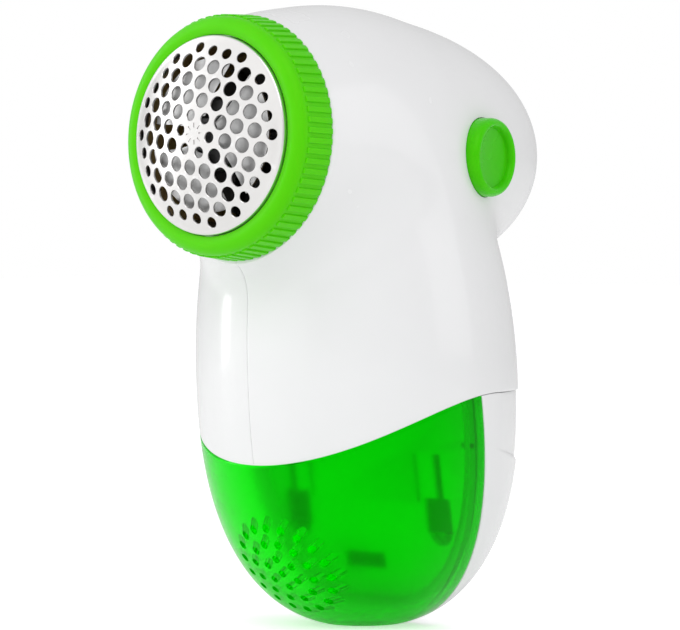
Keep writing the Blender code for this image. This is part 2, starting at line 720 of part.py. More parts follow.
def make_cells():
    top = CELL_BOTTOM + CELL_LENGTH
    nub, body = 2.7, CELL_RADIUS / MM
    for number, side in enumerate((1, -1), start=1):
        place = Matrix.Translation((side * CELL_X, CELL_Y, CELL_BOTTOM if side > 0 else top))
        if side < 0:
            place = place @ Matrix.Rotation(math.pi, 4, "X")
        turned(f"battery_cell_{number}", ((0, 50.5), (nub, 50.5), (nub, 49.4), (body - 0.6, 49.4),
                                          (body, 48.8), (body, 0.4), (body - 0.4, 0), (0, 0)),
               CELL_WRAP, place, steps=20)
    tab = 3.5 * MM
    x, y = CELL_X, CELL_Y
    plate = box("contact_plate_1", (x - tab, y - tab, top + 0.3 * MM),
                (x + tab, y + tab, top + 0.8 * MM), STEEL)
    leaf = box("contact_leaf", (x - tab, y + tab - 0.5 * MM, top + 0.5 * MM),
               (x + tab, y + tab, top + 4.5 * MM), None, collection=CUTTERS)
    boolean(plate, as_cutter(leaf), "UNION")
    box("contact_plate_2", (-x - tab, y - tab, top + 4.0 * MM), (-x + tab, y + tab, top + 4.5 * MM), STEEL)
    tube("contact_spring_1", coil_points(3.0 * MM, top + 0.6 * MM, top + 3.4 * MM, 2.5), 0.25 * MM,
         STEEL, Matrix.Translation((-x, y, 0)))
    tube("contact_spring_2", coil_points(3.0 * MM, 14.8 * MM, 16.0 * MM, 1.5), 0.25 * MM, STEEL,
         Matrix.Translation((x, y, 0)))
    link = box("cell_link", (-x - tab, y - tab, 13.9 * MM), (x + tab, y + tab, 14.4 * MM), STEEL)
    step = box("link_step", (-x - 2.5 * MM, y - 2.5 * MM, 14.2 * MM), (-x + 2.5 * MM, y + 2.5 * MM, 16.3 * MM),
               None, collection=CUTTERS)
    boolean(link, as_cutter(step), "UNION")


def make_wires():
    top = CELL_BOTTOM + CELL_LENGTH
    radius = 0.6 * MM
    switch = BUTTON_AXIS @ Vector((0, 0, -16.2 * MM))
    left, right = (HEAD_AXIS @ Vector((side * 6 * MM, 0, MOTOR_BACK - 8.3 * MM)) for side in (-1, 1))
    red = [(CELL_X, CELL_Y + 4.5 * MM, top + 3.5 * MM), (CELL_X, CELL_Y + 6.5 * MM, top + 8 * MM),
           (13 * MM, 15 * MM, 85 * MM), switch + Vector((2 * MM, 2.5 * MM, -9 * MM)),
           switch + Vector((2 * MM, 1 * MM, -4.6 * MM))]
    black = [(-CELL_X, CELL_Y + 4.5 * MM, top + 4.2 * MM), (-CELL_X, CELL_Y + 7 * MM, top + 9 * MM),
             (-9 * MM, 20 * MM, 88 * MM), left + Vector((0, 6 * MM, -4 * MM)), left + Vector((0, 1.2 * MM, 0))]
    link = [right + Vector((0, 1.2 * MM, 0)), right + Vector((0, 5 * MM, 0.5 * MM)),
            right + Vector((3 * MM, 6.5 * MM, 1 * MM)), right + Vector((6.5 * MM, 5.5 * MM, 1.5 * MM))]
    tube("wire_red", smooth_route(red, 14), radius, RED_WIRE)
    tube("wire_black", smooth_route(black, 14), radius, BLACK_WIRE)
    tube("wire_link", smooth_route(link, 8), radius, RED_WIRE)


# ---------------------------------------------------------------- assembly

def build():
    make_housing()
    make_motor()
    make_chamber()
    make_duct()
    head_axis = axis_empty("head_axis", HEAD_AXIS)
    parent_all(head_axis, make_foil(), make_ring(), *make_rotor())
    button_axis = axis_empty("button_axis", BUTTON_AXIS)
    parent_all(button_axis, *make_button())
    split_axis = axis_empty("slide_axis", SPLIT_PLANE)
    parent_all(split_axis, *make_lower_grip())
    make_cells()
    make_wires()


build()
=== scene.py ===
import json
import math

import bmesh
import bpy
import numpy as np
from mathutils import Matrix, Vector

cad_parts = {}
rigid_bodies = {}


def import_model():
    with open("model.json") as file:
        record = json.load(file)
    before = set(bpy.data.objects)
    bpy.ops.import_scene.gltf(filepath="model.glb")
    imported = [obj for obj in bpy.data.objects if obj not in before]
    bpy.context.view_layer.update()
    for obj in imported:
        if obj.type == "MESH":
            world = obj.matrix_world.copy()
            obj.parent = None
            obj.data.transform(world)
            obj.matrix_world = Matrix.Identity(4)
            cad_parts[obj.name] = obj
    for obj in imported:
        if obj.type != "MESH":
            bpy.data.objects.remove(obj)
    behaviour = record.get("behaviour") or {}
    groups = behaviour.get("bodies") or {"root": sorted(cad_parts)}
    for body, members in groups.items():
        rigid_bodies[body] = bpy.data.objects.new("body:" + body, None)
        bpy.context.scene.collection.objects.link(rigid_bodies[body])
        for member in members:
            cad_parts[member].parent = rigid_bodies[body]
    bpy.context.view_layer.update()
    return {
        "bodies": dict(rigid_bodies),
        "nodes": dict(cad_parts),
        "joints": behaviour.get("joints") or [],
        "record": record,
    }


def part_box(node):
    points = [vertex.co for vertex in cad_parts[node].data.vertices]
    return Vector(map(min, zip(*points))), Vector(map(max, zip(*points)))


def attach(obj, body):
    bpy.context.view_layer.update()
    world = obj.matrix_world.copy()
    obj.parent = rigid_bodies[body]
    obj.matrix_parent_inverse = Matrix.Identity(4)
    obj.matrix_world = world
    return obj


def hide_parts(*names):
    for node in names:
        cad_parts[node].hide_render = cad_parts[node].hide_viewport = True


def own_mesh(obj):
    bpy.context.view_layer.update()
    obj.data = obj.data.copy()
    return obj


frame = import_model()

mm = 0.001
joints = {joint["name"]: joint for joint in frame["joints"]}

# The frame's own axes: the head's, the button's and the plane that the bin and the door slide along
headOut = Vector(joints["ring_turn"]["axis"])
headStart = Vector(joints["ring_turn"]["pos_m"])
headTilt = math.asin(headOut.z)
headAxis = Matrix.Translation(headStart) @ Matrix.Rotation(math.radians(90) - headTilt, 4, "X")
pressOut = -Vector(joints["button_press"]["axis"])
plungerLow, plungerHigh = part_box("switch_plunger")
plungerReach = 11.25 * mm  # from the plunger's middle to the point that the button is measured from
buttonAxis = (Matrix.Translation((plungerLow + plungerHigh) / 2 + pressOut * plungerReach)
              @ Matrix.Rotation(math.atan2(pressOut.y, pressOut.x), 4, "Z")
              @ Matrix.Rotation(math.radians(90), 4, "Y"))
splitPlane = {"y": -1.2 * mm, "z": 48.0 * mm,
              "lean": math.asin(Vector(joints["lint_bin_slide"]["axis"]).y)}
print("frame loaded")


def feed(tree, sockets, values):
    # a link from a value that is another node's socket; any other value is set as it is
    for label, value in values.items():
        if isinstance(value, bpy.types.NodeSocket):
            tree.links.new(value, sockets[label])
        else:
            sockets[label].default_value = value


def newGroup(name, inputs, outputs):
    # a shared effect; its outputs are plain numbers, and so are its inputs apart from a tuple
    group = bpy.data.node_groups.new(name, "ShaderNodeTree")
    for label, value in inputs.items():
        kind = "NodeSocketVector" if isinstance(value, tuple) else "NodeSocketFloat"
        group.interface.new_socket(label, in_out="INPUT", socket_type=kind).default_value = value
    for label in outputs:
        group.interface.new_socket(label, in_out="OUTPUT", socket_type="NodeSocketFloat")
    return group, group.nodes.new("NodeGroupInput").outputs, group.nodes.new("NodeGroupOutput").inputs


def addNode(tree, kind, inputs=None, **settings):
    node = tree.nodes.new(kind)
    for label, value in settings.items():
        setattr(node, label, value)
    feed(tree, node.inputs, inputs or {})
    return node


def objectPlace(tree):
    return addNode(tree, "ShaderNodeTexCoord").outputs["Object"]


def noise(tree, spot, scale, detail=2.0, rough=0.5):
    return addNode(tree, "ShaderNodeTexNoise", {"Vector": spot, "Scale": scale, "Detail": detail,
                                                "Roughness": rough}).outputs["Fac"]


def combine(tree, operation, first, second, kind="ShaderNodeMath"):
    return addNode(tree, kind, {0: first, 1: second}, operation=operation)


def mapRange(tree, value, low, high, lowTo=0.0, highTo=1.0):
    return addNode(tree, "ShaderNodeMapRange", {"Value": value, "From Min": low, "From Max": high,
                                                "To Min": lowTo, "To Max": highTo}).outputs["Result"]


def mixColour(tree, mask, first, second):
    # first where the mask is 0, second where it is 1
    first, second = (value if isinstance(value, bpy.types.NodeSocket) else (*value, 1.0)
                     for value in (first, second))
    return addNode(tree, "ShaderNodeMix", {0: mask, 6: first, 7: second}, data_type="RGBA").outputs[2]


def mouldedSkinGroup():
    # a moulded plastic skin: slow gloss drift, fine grain and faint flow ripples
    group, given, made = newGroup(
        "mouldedSkin", {"Grain Size": 900.0, "Drift Size": 40.0, "Low Rough": 0.15, "High Rough": 0.25},
        ("Roughness", "Height", "Drift"))
    spot, rippleShare = objectPlace(group), 0.35
    drift = noise(group, spot, given["Drift Size"], 3.0)
    grain = noise(group, spot, given["Grain Size"], 2.0, 0.6)
    ripple = combine(group, "MULTIPLY", drift, rippleShare).outputs[0]
    feed(group, made, {"Height": combine(group, "ADD", grain, ripple).outputs[0], "Drift": drift,
                       "Roughness": mapRange(group, drift, 0.3, 0.7, given["Low Rough"],
                                             given["High Rough"])})
    return group


def edgeMaskGroup():
    # masks of convex edges and creases, from the surface's own curvature, where light and shade are painted
    # into the colour
    group, given, made = newGroup("edgeMask", {"Softness": 0.06}, ("Painted Edge Shading", "Painted Crease Shade"))
    curve, flat = addNode(group, "ShaderNodeNewGeometry").outputs["Pointiness"], 0.5
    for label, operation in (("Painted Edge Shading", "ADD"), ("Painted Crease Shade", "SUBTRACT")):
        end = combine(group, operation, flat, given["Softness"]).outputs[0]
        feed(group, made, {label: mapRange(group, curve, flat, end)})
    return group


def brushedGroup():
    # sheet metal: fine streaks, as close together along each axis as its stretch is large
    group, given, made = newGroup(
        "brushedSheet", {"Stretch": (60.0, 1800.0, 1800.0), "Low Rough": 0.2, "High Rough": 0.36},
        ("Roughness", "Streak"))
    stretched = combine(group, "MULTIPLY", objectPlace(group), given["Stretch"], "ShaderNodeVectorMath")
    streak = noise(group, stretched.outputs[0], 1.0, 3.0)
    feed(group, made, {"Streak": streak, "Roughness": mapRange(group, streak, 0.3, 0.7, given["Low Rough"],
                                                               given["High Rough"])})
    return group


mouldedSkin = mouldedSkinGroup()
edgeMask = edgeMaskGroup()
brushedSheet = brushedGroup()


def startMaterial(name):
    made = bpy.data.materials.new(name)
    made.use_nodes = True
    return made, made.node_tree, made.node_tree.nodes["Principled BSDF"]


def addBump(tree, shader, height, strength, distance):
    bump = addNode(tree, "ShaderNodeBump", {"Height": height, "Strength": strength, "Distance": distance})
    tree.links.new(bump.outputs["Normal"], shader.inputs["Normal"])


def startPlastic(name, look):
    # the moulded skin's gloss and grain, and a body colour that drifts a little
    made, tree, shader = startMaterial(name)
    skin = addNode(tree, "ShaderNodeGroup",
                   {"Grain Size": look["grain"], "Drift Size": look["drift"],
                    "Low Rough": look["rough"][0], "High Rough": look["rough"][1]},
                   node_tree=mouldedSkin).outputs
    feed(tree, shader.inputs, {"Roughness": skin["Roughness"]})
    addBump(tree, shader, skin["Height"], look["bump"], 0.02 * mm)
    return made, tree, shader.inputs, skin["Drift"]


def paintedEdgeShadingOf(tree, look):
    return addNode(tree, "ShaderNodeGroup", {"Softness": look["edgeSoft"]}, node_tree=edgeMask).outputs


def plastic(name, look):
    # moulded plastic, where asked with painted shading: a painted edge colour on convex edges and painted
    # shade in creases
    made, tree, surface, drift = startPlastic(name, look)
    colour = mixColour(tree, drift, look["colour"], look["colourTwo"])
    if "edge" in look:
        # light and shade painted into the colour: the edge colour on convex edges, painted shade in creases
        edgeShading = paintedEdgeShadingOf(tree, look)
        colour = mixColour(tree, edgeShading["Painted Edge Shading"], colour, look["edge"])
        colour = mixColour(tree, edgeShading["Painted Crease Shade"], colour, look["paintedCreaseShade"])
    feed(tree, surface, {
        "Base Color": colour, "Specular IOR Level": look.get("shine", 0.5),
        "Specular Tint": (*look.get("shineTint", (1.0, 1.0, 1.0)), 1.0),
        "Coat Weight": look.get("coat", 0.0), "Coat Roughness": look.get("coatRough", 0.05),
        "Subsurface Weight": look.get("glow", 0.0), "Subsurface Scale": 1.0 * mm,
        "Subsurface Radius": look.get("glowRadius", (1.0, 1.0, 1.0))})
    return made


def metal(name, look):
    made, tree, shader = startMaterial(name)
    sheet = addNode(tree, "ShaderNodeGroup",
                    {"Stretch": look["stretch"], "Low Rough": look["rough"][0],
                     "High Rough": look["rough"][1]}, node_tree=brushedSheet).outputs
    colour = mixColour(tree, sheet["Streak"], look["colour"], look["colourTwo"])
    # a painted highlight on the sheet's convex edges
    colour = mixColour(tree, paintedEdgeShadingOf(tree, look)["Painted Edge Shading"], colour, look["edge"])
    addBump(tree, shader, sheet["Streak"], look["bump"], 0.01 * mm)
    feed(tree, shader.inputs, {"Base Color": colour, "Roughness": sheet["Roughness"], "Metallic": 1.0})
    return made


whiteLook = {"colour": (0.80, 0.80, 0.81), "colourTwo": (0.83, 0.83, 0.84), "grain": 1400.0,
             "drift": 55.0, "rough": (0.22, 0.28), "bump": 0.02, "coat": 0.6, "coatRough": 0.06}
# in the finishes below, the edge colour is painted on convex edges, a painted highlight in most and painted
# shade in the chamber's, and the crease colour is painted shade in creases
innerWhiteLook = {"colour": (0.78, 0.78, 0.76), "colourTwo": (0.72, 0.72, 0.70),
                  "edge": (0.82, 0.82, 0.80), "paintedCreaseShade": (0.5, 0.5, 0.48), "edgeSoft": 0.1,
                  "grain": 2500.0, "drift": 90.0, "rough": (0.4, 0.55), "bump": 0.12}
chamberLook = {"colour": (0.50, 0.34, 0.12), "colourTwo": (0.38, 0.25, 0.08),
               "edge": (0.16, 0.13, 0.09), "paintedCreaseShade": (0.02, 0.015, 0.01), "edgeSoft": 0.1,
               "grain": 1500.0, "drift": 120.0, "rough": (0.25, 0.4), "bump": 0.1}
ringLook = {"colour": (0.085, 0.60, 0.003), "colourTwo": (0.10, 0.63, 0.005), "grain": 2600.0,
            "drift": 130.0, "rough": (0.36, 0.46), "bump": 0.10, "shine": 0.3,
            "shineTint": (0.4, 1.0, 0.12), "glow": 0.25, "glowRadius": (0.4, 1.4, 0.2)}
# the button's green is the ring's green painted darker, as painted shade for the button's side away from the
# light; its lower roughness is its own
buttonShadedLook = dict(ringLook, colour=(0.05, 0.55, 0.002), colourTwo=(0.065, 0.58, 0.004),
                  rough=(0.24, 0.30))
blackLook = {"colour": (0.018, 0.018, 0.019), "colourTwo": (0.028, 0.028, 0.03),
             "edge": (0.06, 0.06, 0.06), "paintedCreaseShade": (0.008, 0.008, 0.008), "edgeSoft": 0.1,
             "grain": 2200.0, "drift": 140.0, "rough": (0.38, 0.55), "bump": 0.15}
# the metals' edge colours are painted highlights on their convex edges
foilLook = {"colour": (0.76, 0.75, 0.74), "colourTwo": (0.72, 0.71, 0.70), "edge": (0.9, 0.9, 0.9),
            "edgeSoft": 0.3, "stretch": (300.0, 300.0, 300.0), "rough": (0.30, 0.36), "bump": 0.02}
bladeLook = {"colour": (0.50, 0.50, 0.50), "colourTwo": (0.42, 0.42, 0.42), "edge": (0.8, 0.8, 0.8),
             "edgeSoft": 0.15, "stretch": (900.0, 120.0, 900.0), "rough": (0.34, 0.46), "bump": 0.2}
zincLook = {"colour": (0.62, 0.62, 0.64), "colourTwo": (0.50, 0.50, 0.53), "edge": (0.85, 0.85, 0.86),
            "edgeSoft": 0.1, "stretch": (700.0, 700.0, 700.0), "rough": (0.22, 0.4), "bump": 0.1}
brassLook = dict(zincLook, colour=(0.78, 0.56, 0.24), colourTwo=(0.66, 0.45, 0.18), edge=(0.95, 0.8, 0.5))
# painted shade: a dark grey for the pads at the floors of the chassis's recesses
paintedShadeLook = dict(blackLook, colour=(0.16, 0.16, 0.16), colourTwo=(0.19, 0.19, 0.19))
redWireLook = dict(blackLook, colour=(0.45, 0.012, 0.01), colourTwo=(0.5, 0.02, 0.015),
                   edge=(0.6, 0.06, 0.05), paintedCreaseShade=(0.2, 0.005, 0.005), rough=(0.3, 0.4))

glossWhite = plastic("glossWhite", whiteLook)
innerWhite = plastic("innerWhite", innerWhiteLook)
chamberBrown = plastic("chamberBrown", chamberLook)
ringGreen = plastic("ringGreen", ringLook)
buttonShadedGreen = plastic("buttonShadedGreen", buttonShadedLook)
blackNylon = plastic("blackNylon", blackLook)
paintedShadeGrey = plastic("paintedShadeGrey", paintedShadeLook)
redSleeve = plastic("redSleeve", redWireLook)
blackSleeve = plastic("blackSleeve", blackLook)
foilSteel = metal("foilSteel", foilLook)
bladeSteel = metal("bladeSteel", bladeLook)
zincSteel = metal("zincSteel", zincLook)
contactBrass = metal("contactBrass", brassLook)


def pastLevel(tree, value, level, soft):
    # 0 below a level of the value and 1 above it, with a soft change between
    return mapRange(tree, value, level - soft, level + soft)


def clearGreenPlastic(look):
    # a dyed see-through moulding, with a deeper band where it folds in along the split, and a faint painted
    # green glow, though it is no lamp
    made, tree, surface, drift = startPlastic("clearGreen", look)
    colour = mixColour(tree, drift, look["colour"], look["colourTwo"])
    start = (0.0, splitPlane["y"], splitPlane["z"])
    square = (0.0, math.cos(splitPlane["lean"]), math.sin(splitPlane["lean"]))
    gap = combine(tree, "SUBTRACT", objectPlace(tree), start, "ShaderNodeVectorMath").outputs[0]
    away = combine(tree, "DOT_PRODUCT", gap, square, "ShaderNodeVectorMath").outputs["Value"]
    colour = mixColour(tree, pastLevel(tree, away, -look["band"], look["bandSoft"]), colour,
                       look["bandColour"])
    # the emission is a painted glow that brightens the bin
    feed(tree, surface, {
        "Base Color": colour, "Transmission Weight": look["clear"], "IOR": look["ior"],
        "Specular Tint": (*look["shine"], 1.0), "Coat Weight": look["coat"],
        "Coat Roughness": look["coatRough"], "Emission Color": (*look["paintedGlowColour"], 1.0),
        "Emission Strength": look["glow"]})
    return made


# glow is the strength of the bin's painted green glow
clearLook = {"colour": (0.0, 0.97, 0.0), "colourTwo": (0.0, 0.94, 0.0), "grain": 500.0, "drift": 60.0,
             "rough": (0.15, 0.19), "bump": 0.04, "clear": 0.92, "ior": 1.27, "shine": (0.0, 1.0, 0.0),
             "coat": 0.05, "coatRough": 0.04, "paintedGlowColour": (0.0, 1.0, 0.0), "glow": 0.04,
             "band": 3.3 * mm, "bandSoft": 0.1 * mm, "bandColour": (0.0, 0.48, 0.0)}
clearGreen = clearGreenPlastic(clearLook)


def cellSleeve(look):
    # a printed sleeve: a dark body with a paler band near the top, and no wording
    made, tree, surface, drift = startPlastic("cellSleeve", look)
    height = addNode(tree, "ShaderNodeSeparateXYZ", {"Vector": objectPlace(tree)}).outputs["Z"]
    band = pastLevel(tree, height, look["bandLow"], look["bandSoft"])
    colour = mixColour(tree, band, look["colour"], look["band"])
    dusty = mixColour(tree, drift, colour, look["colour"])
    feed(tree, surface, {"Base Color": mixColour(tree, look["clean"], dusty, colour),
                         "Coat Weight": look["coat"]})
    return made


sleeveLook = {"colour": (0.02, 0.10, 0.06), "band": (0.55, 0.42, 0.10), "bandLow": 53.05 * mm,
              "bandSoft": 0.05 * mm, "clean": 0.85, "grain": 1200.0, "drift": 80.0, "rough": (0.2, 0.3),
              "bump": 0.05, "coat": 0.7}
sleeve = cellSleeve(sleeveLook)
print("materials made")


def finishMesh(name, work, material, spot=None, sharp=35):
    bmesh.ops.recalc_face_normals(work, faces=work.faces)
    mesh = bpy.data.meshes.new(name)
    work.to_mesh(mesh)
    work.free()
    if spot is not None:
        mesh.transform(spot)
    made = bpy.data.objects.new(name, mesh)
    bpy.context.scene.collection.objects.link(made)
    mesh.materials.append(material)
    mesh.shade_smooth()
    mesh.set_sharp_from_angle(angle=math.radians(sharp))
    return made


def joinRows(work, rows, wrap=False):
    # faces between each row of points and the next
    for upper, lower in zip(rows, rows[1:]):
        for i in range(len(upper) if wrap else len(upper) - 1):
            j = (i + 1) % len(upper)
            work.faces.new((upper[i], upper[j], lower[j], lower[i]))


def joinTube(work, rows):
    # the sides of a solid through closed rows, and its two ends
    joinRows(work, rows, wrap=True)
    work.faces.new(rows[0])
    work.faces.new(rows[-1])


def mirroredCap(work, row):
    # closes a row whose second half mirrors its first, strip by strip
    count = len(row)
    for i in range((count - 1) // 2):
        corners = [row[i], row[i + 1], row[count - 2 - i], row[count - 1 - i]]
        work.faces.new(list(dict.fromkeys(corners)))


def shellMesh(name, outer, inner, material, spot=None, capped=False, sharp=35):
    # a wall between two skins of matching rows; capped closes the last row of each skin
    work = bmesh.new()
    skins = [[[work.verts.new(point) for point in row] for row in rows] for rows in (outer, inner)]
    for grid in skins:
        joinRows(work, grid)
        if capped:
            mirroredCap(work, grid[-1])
    for row in (0,) if capped else (0, -1):
        joinRows(work, (skins[0][row], skins[1][row]))
    for k in range(len(outer) - 1):
        for side in (0, -1):
            work.faces.new((skins[0][k][side], skins[0][k + 1][side],
                            skins[1][k + 1][side], skins[1][k][side]))
    if capped:
        work.faces.new((skins[0][-1][0], skins[0][-1][-1], skins[1][-1][-1], skins[1][-1][0]))
    return finishMesh(name, work, material, spot, sharp)


def turnedMesh(name, profile, material, spot, steps=96, closed=False, sharp=35):
    # profile: (radius, height) in millimetres; an open profile starts and ends on the axis
    work = bmesh.new()
    rings = []
    for radius, height in profile:
        if radius < 0.001:
            rings.append([work.verts.new((0, 0, height * mm))])
            continue
        rings.append([work.verts.new((radius * mm * math.cos(math.tau * k / steps),
                                      radius * mm * math.sin(math.tau * k / steps), height * mm))
                      for k in range(steps)])
    joined = list(zip(rings, rings[1:])) + ([(rings[-1], rings[0])] if closed else [])
    for upper, lower in joined:
        for k in range(steps if len(upper) + len(lower) > 2 else 0):
            n = (k + 1) % steps
            corners = [upper[k % len(upper)], upper[n % len(upper)],
                       lower[n % len(lower)], lower[k % len(lower)]]
            work.faces.new(list(dict.fromkeys(corners)))
    return finishMesh(name, work, material, spot, sharp)


def rodMesh(name, radius, high, low, material, spot, steps=48):
    return turnedMesh(name, ((0, high), (radius, high), (radius, low), (0, low)), material, spot, steps)


def blockMesh(name, low, high, material, spot=None):
    work = bmesh.new()
    bmesh.ops.create_cube(work, size=1.0)
    low, high = Vector(low), Vector(high)
    bmesh.ops.scale(work, vec=high - low, verts=work.verts)
    bmesh.ops.translate(work, vec=(high + low) / 2, verts=work.verts)
    return finishMesh(name, work, material, spot)


def applyBoolean(thing, tools, operation="DIFFERENCE", sharp=35):
    # cut or join the tools, then drop them
    for tool in tools:
        step = thing.modifiers.new("joinOrCut", "BOOLEAN")
        step.operation = operation
        step.object = tool
        step.solver = "MANIFOLD"
    bakeModifiers(thing, sharp)
    for tool in tools:
        bpy.data.objects.remove(tool, do_unlink=True)
    return thing


def bakeModifiers(thing, sharp=35):
    bpy.context.view_layer.update()
    old = thing.data
    ready = bpy.data.meshes.new_from_object(thing.evaluated_get(bpy.context.evaluated_depsgraph_get()))
    thing.modifiers.clear()
    thing.data = ready
    bpy.data.meshes.remove(old)
    while len(ready.materials) > 1:
        ready.materials.pop()
    ready.shade_smooth()
    ready.set_sharp_from_angle(angle=math.radians(sharp))


def place(piece, body, slot, *nodes):
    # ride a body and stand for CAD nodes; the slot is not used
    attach(piece, body)
    if nodes:
        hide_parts(*nodes)
    return piece


# the body's outer shape: an ovoid head on an egg-shaped grip
bodyShape = {"neck": 25.1 * mm, "head": 28.8 * mm, "belly": 25.4 * mm, "tail": 59.8 * mm,
             "headPower": 2.3, "gripDepth": 34.6 * mm, "gripRound": 0.975, "gripMiddle": 51.5 * mm,
             "gripBelow": 52.2 * mm, "gripAbove": 71.0 * mm, "gripPower": 2.4,
             "blendFront": 8.0 * mm, "blendBack": 3.0 * mm, "fold": 29.0 * mm,
             "seamY": -35.4 * mm, "seamZ": 34.5 * mm, "seamRise": 15.3 * mm, "seamRun": 40.0 * mm,
             "wall": 2.2 * mm, "bowlWall": 1.8 * mm, "bowlFloor": 2.9 * mm, "seamGap": 0.12 * mm}


def headGap(x, y, z):
    # roughly the distance outside the head, negative inside
    along = (y - headStart.y) * math.cos(headTilt) - (z - headStart.z) * math.sin(headTilt)
    across = (y - headStart.y) * math.sin(headTilt) + (z - headStart.z) * math.cos(headTilt)
    radius = np.hypot(x, across)
    s = bodyShape
    lead = np.clip((s["belly"] - along) / s["belly"], 0, 2)
    front = radius - (s["head"] - (s["head"] - s["neck"]) * lead ** 2)
    tail = np.clip(along - s["belly"], 0, None) / s["tail"]
    size = ((radius / s["head"]) ** s["headPower"] + tail ** s["headPower"]) ** (1 / s["headPower"])
    return np.where(along < s["belly"], front, (size - 1) * s["head"])


def gripCentre(z):
    return 0.2 * mm - 0.02 * z - 0.37 * z ** 2


def gripGap(x, y, z):
    s = bodyShape
    across = np.hypot(x / s["gripRound"], y - gripCentre(z)) / s["gripDepth"]
    below = np.clip(s["gripMiddle"] - z, 0, None) / s["gripBelow"]
    above = np.clip(z - s["gripMiddle"], 0, None) / s["gripAbove"]
    low = (across ** s["gripPower"] + below ** s["gripPower"]) ** (1 / s["gripPower"])
    return (np.where(z < s["gripMiddle"], low, np.hypot(across, above)) - 1) * s["gripDepth"]


def bodyGap(x, y, z):
    # head and grip joined with a rounded valley that is tighter at the back
    s = bodyShape
    back = np.clip((y + 5 * mm) / (30 * mm), 0, 1)
    reach = s["blendFront"] + (s["blendBack"] - s["blendFront"]) * back ** 2 * (3 - 2 * back)
    head, grip = headGap(x, y, z), gripGap(x, y, z)
    share = np.clip(0.5 + 0.5 * (grip - head) / reach, 0, 1)
    return grip + (head - grip) * share - reach * share * (1 - share)


def seamHeight(y):
    along = np.clip((y - bodyShape["seamY"]) / bodyShape["seamRun"], 0, 1)
    return bodyShape["seamZ"] + bodyShape["seamRise"] * np.sin(math.pi / 2 * along)


def surfaceRow(where, depth, count, start=0.0, far=70 * mm):
    # where each ray of where(r) leaves the body sunk by depth
    inside, outside = np.full(count, start), np.full(count, far)
    for _ in range(30):
        middle = (inside + outside) / 2
        solid = bodyGap(*where(middle)) < -depth
        inside = np.where(solid, middle, inside)
        outside = np.where(solid, outside, middle)
    return np.stack(where(inside), axis=-1)


def headRow(angle, turn, depth):
    # a section on a plane that folds about a line below the neck, like an elbow's
    fold = bodyShape["fold"]
    foldY = headStart.y - fold * math.sin(headTilt)
    foldZ = headStart.z - fold * math.cos(headTilt)
    outY, outZ = math.sin(angle + headTilt), math.cos(angle + headTilt)

    def spoke(r):
        return np.zeros_like(r), foldY + r * outY, foldZ + r * outZ

    near = surfaceRow(spoke, depth, 1, 30 * mm, 0.0)
    far = surfaceRow(spoke, depth, 1, 30 * mm, 130 * mm)
    middle = (near + far)[0] / 2

    def where(r):
        return (r * np.sin(turn), middle[1] + r * np.cos(turn) * outY,
                middle[2] + r * np.cos(turn) * outZ)

    return surfaceRow(where, depth, len(turn))


def gripRow(top, share, turn, depth):
    # a section between the flat height top and the S-curve, share of the way down
    def where(r):
        y = gripCentre(top) + r * np.cos(turn)
        return r * np.sin(turn), y, top + (seamHeight(y) - top) * share
    return surfaceRow(where, depth, len(turn), far=45 * mm)


def sunkenCore(name, heights, depth, middle, count):
    # the grip's shape sunk by depth, as a solid; middle gives the y of its axis at a height
    turn = np.linspace(0, math.tau, count, endpoint=False)
    work = bmesh.new()
    rows = []
    for z in heights:
        def where(r, z=z):
            return r * np.sin(turn), middle(z) + r * np.cos(turn), np.full_like(r, z)
        rows.append([work.verts.new(point) for point in surfaceRow(where, depth, count, far=45 * mm)])
    joinTube(work, rows)
    return finishMesh(name, work, innerWhite)


# the share of an edge's small round that each of the rows nearest to a rim is sunk by
rimShares = {0: 1.0, 1: 0.35, 2: 0.06}


# rounds in metres; bores, bosses and screws in millimetres along their own axes
housing = {"columns": 84, "headRows": 64, "gripRows": 22, "edgeRound": 0.12 * mm, "seamHalf": 0.02 * mm,
           "buttonHole": 8.4, "bossHole": 1.4, "bossDeep": 7.3, "bossWide": 3.0, "seatWide": 4.0,
           "bossGap": 0.1, "intoWall": 0.9, "screwHole": 1.5, "counterbore": 2.9, "seatThick": 3,
           "thread": (1.1, 7.0), "head": (2.5, -5.2)}


def housingHalf(name, side):
    # half shell: closely set rows at each rim carry its small round
    edge = housing["edgeRound"]
    close = np.array([0.0, 0.0035, 0.009, 0.02])
    turn = np.concatenate([close, np.linspace(0.045, math.pi - 0.045, housing["columns"]),
                           math.pi - close[::-1]])
    sink = np.zeros_like(turn)
    sink[:3] = sink[:-4:-1] = edge * np.array([0.9, 0.3, 0.06])
    spread = np.linspace(0, 1, housing["headRows"])
    angles = np.concatenate([[0, 0.3, 0.8], 1.6 + 85.4 * (1 - (1 - spread) ** 1.5)])
    shares = np.concatenate([np.linspace(0.04, 0.975, housing["gripRows"]), [0.989, 0.9955, 1.0]])
    top = headStart.z - bodyShape["fold"] * math.cos(headTilt)
    skins = []
    for wall in (0.0, bodyShape["wall"]):
        outside = wall == 0
        rows = [headRow(math.radians(angle), turn,
                        wall + outside * np.maximum(sink, edge * rimShares.get(k, 0)))
                for k, angle in enumerate(angles)]
        for k, share in enumerate(shares):
            rim = rimShares.get(len(shares) - 1 - k, 0)
            rows.append(gripRow(top, share, turn, wall + outside * np.maximum(sink, edge * rim)))
        for row in rows:
            row[:, 0] = side * np.maximum(row[:, 0], housing["seamHalf"])
        skins.append(rows)
    return shellMesh(name, skins[0], skins[1], glossWhite)


def acrossFrame(spot):
    # a frame on the mid-plane whose Z axis is the object's +X
    return Matrix.Translation((0, spot.y, spot.z)) @ Matrix.Rotation(math.radians(90), 4, "Y")


def halfWidth(spot, depth):
    def where(r):
        return r, np.full_like(r, spot.y), np.full_like(r, spot.z)
    return float(surfaceRow(where, depth, 1)[0, 0])


def screwSpots():
    return [sum(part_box(f"housing_screw_{number}"), Vector()) / 2 for number in (1, 2, 3)]


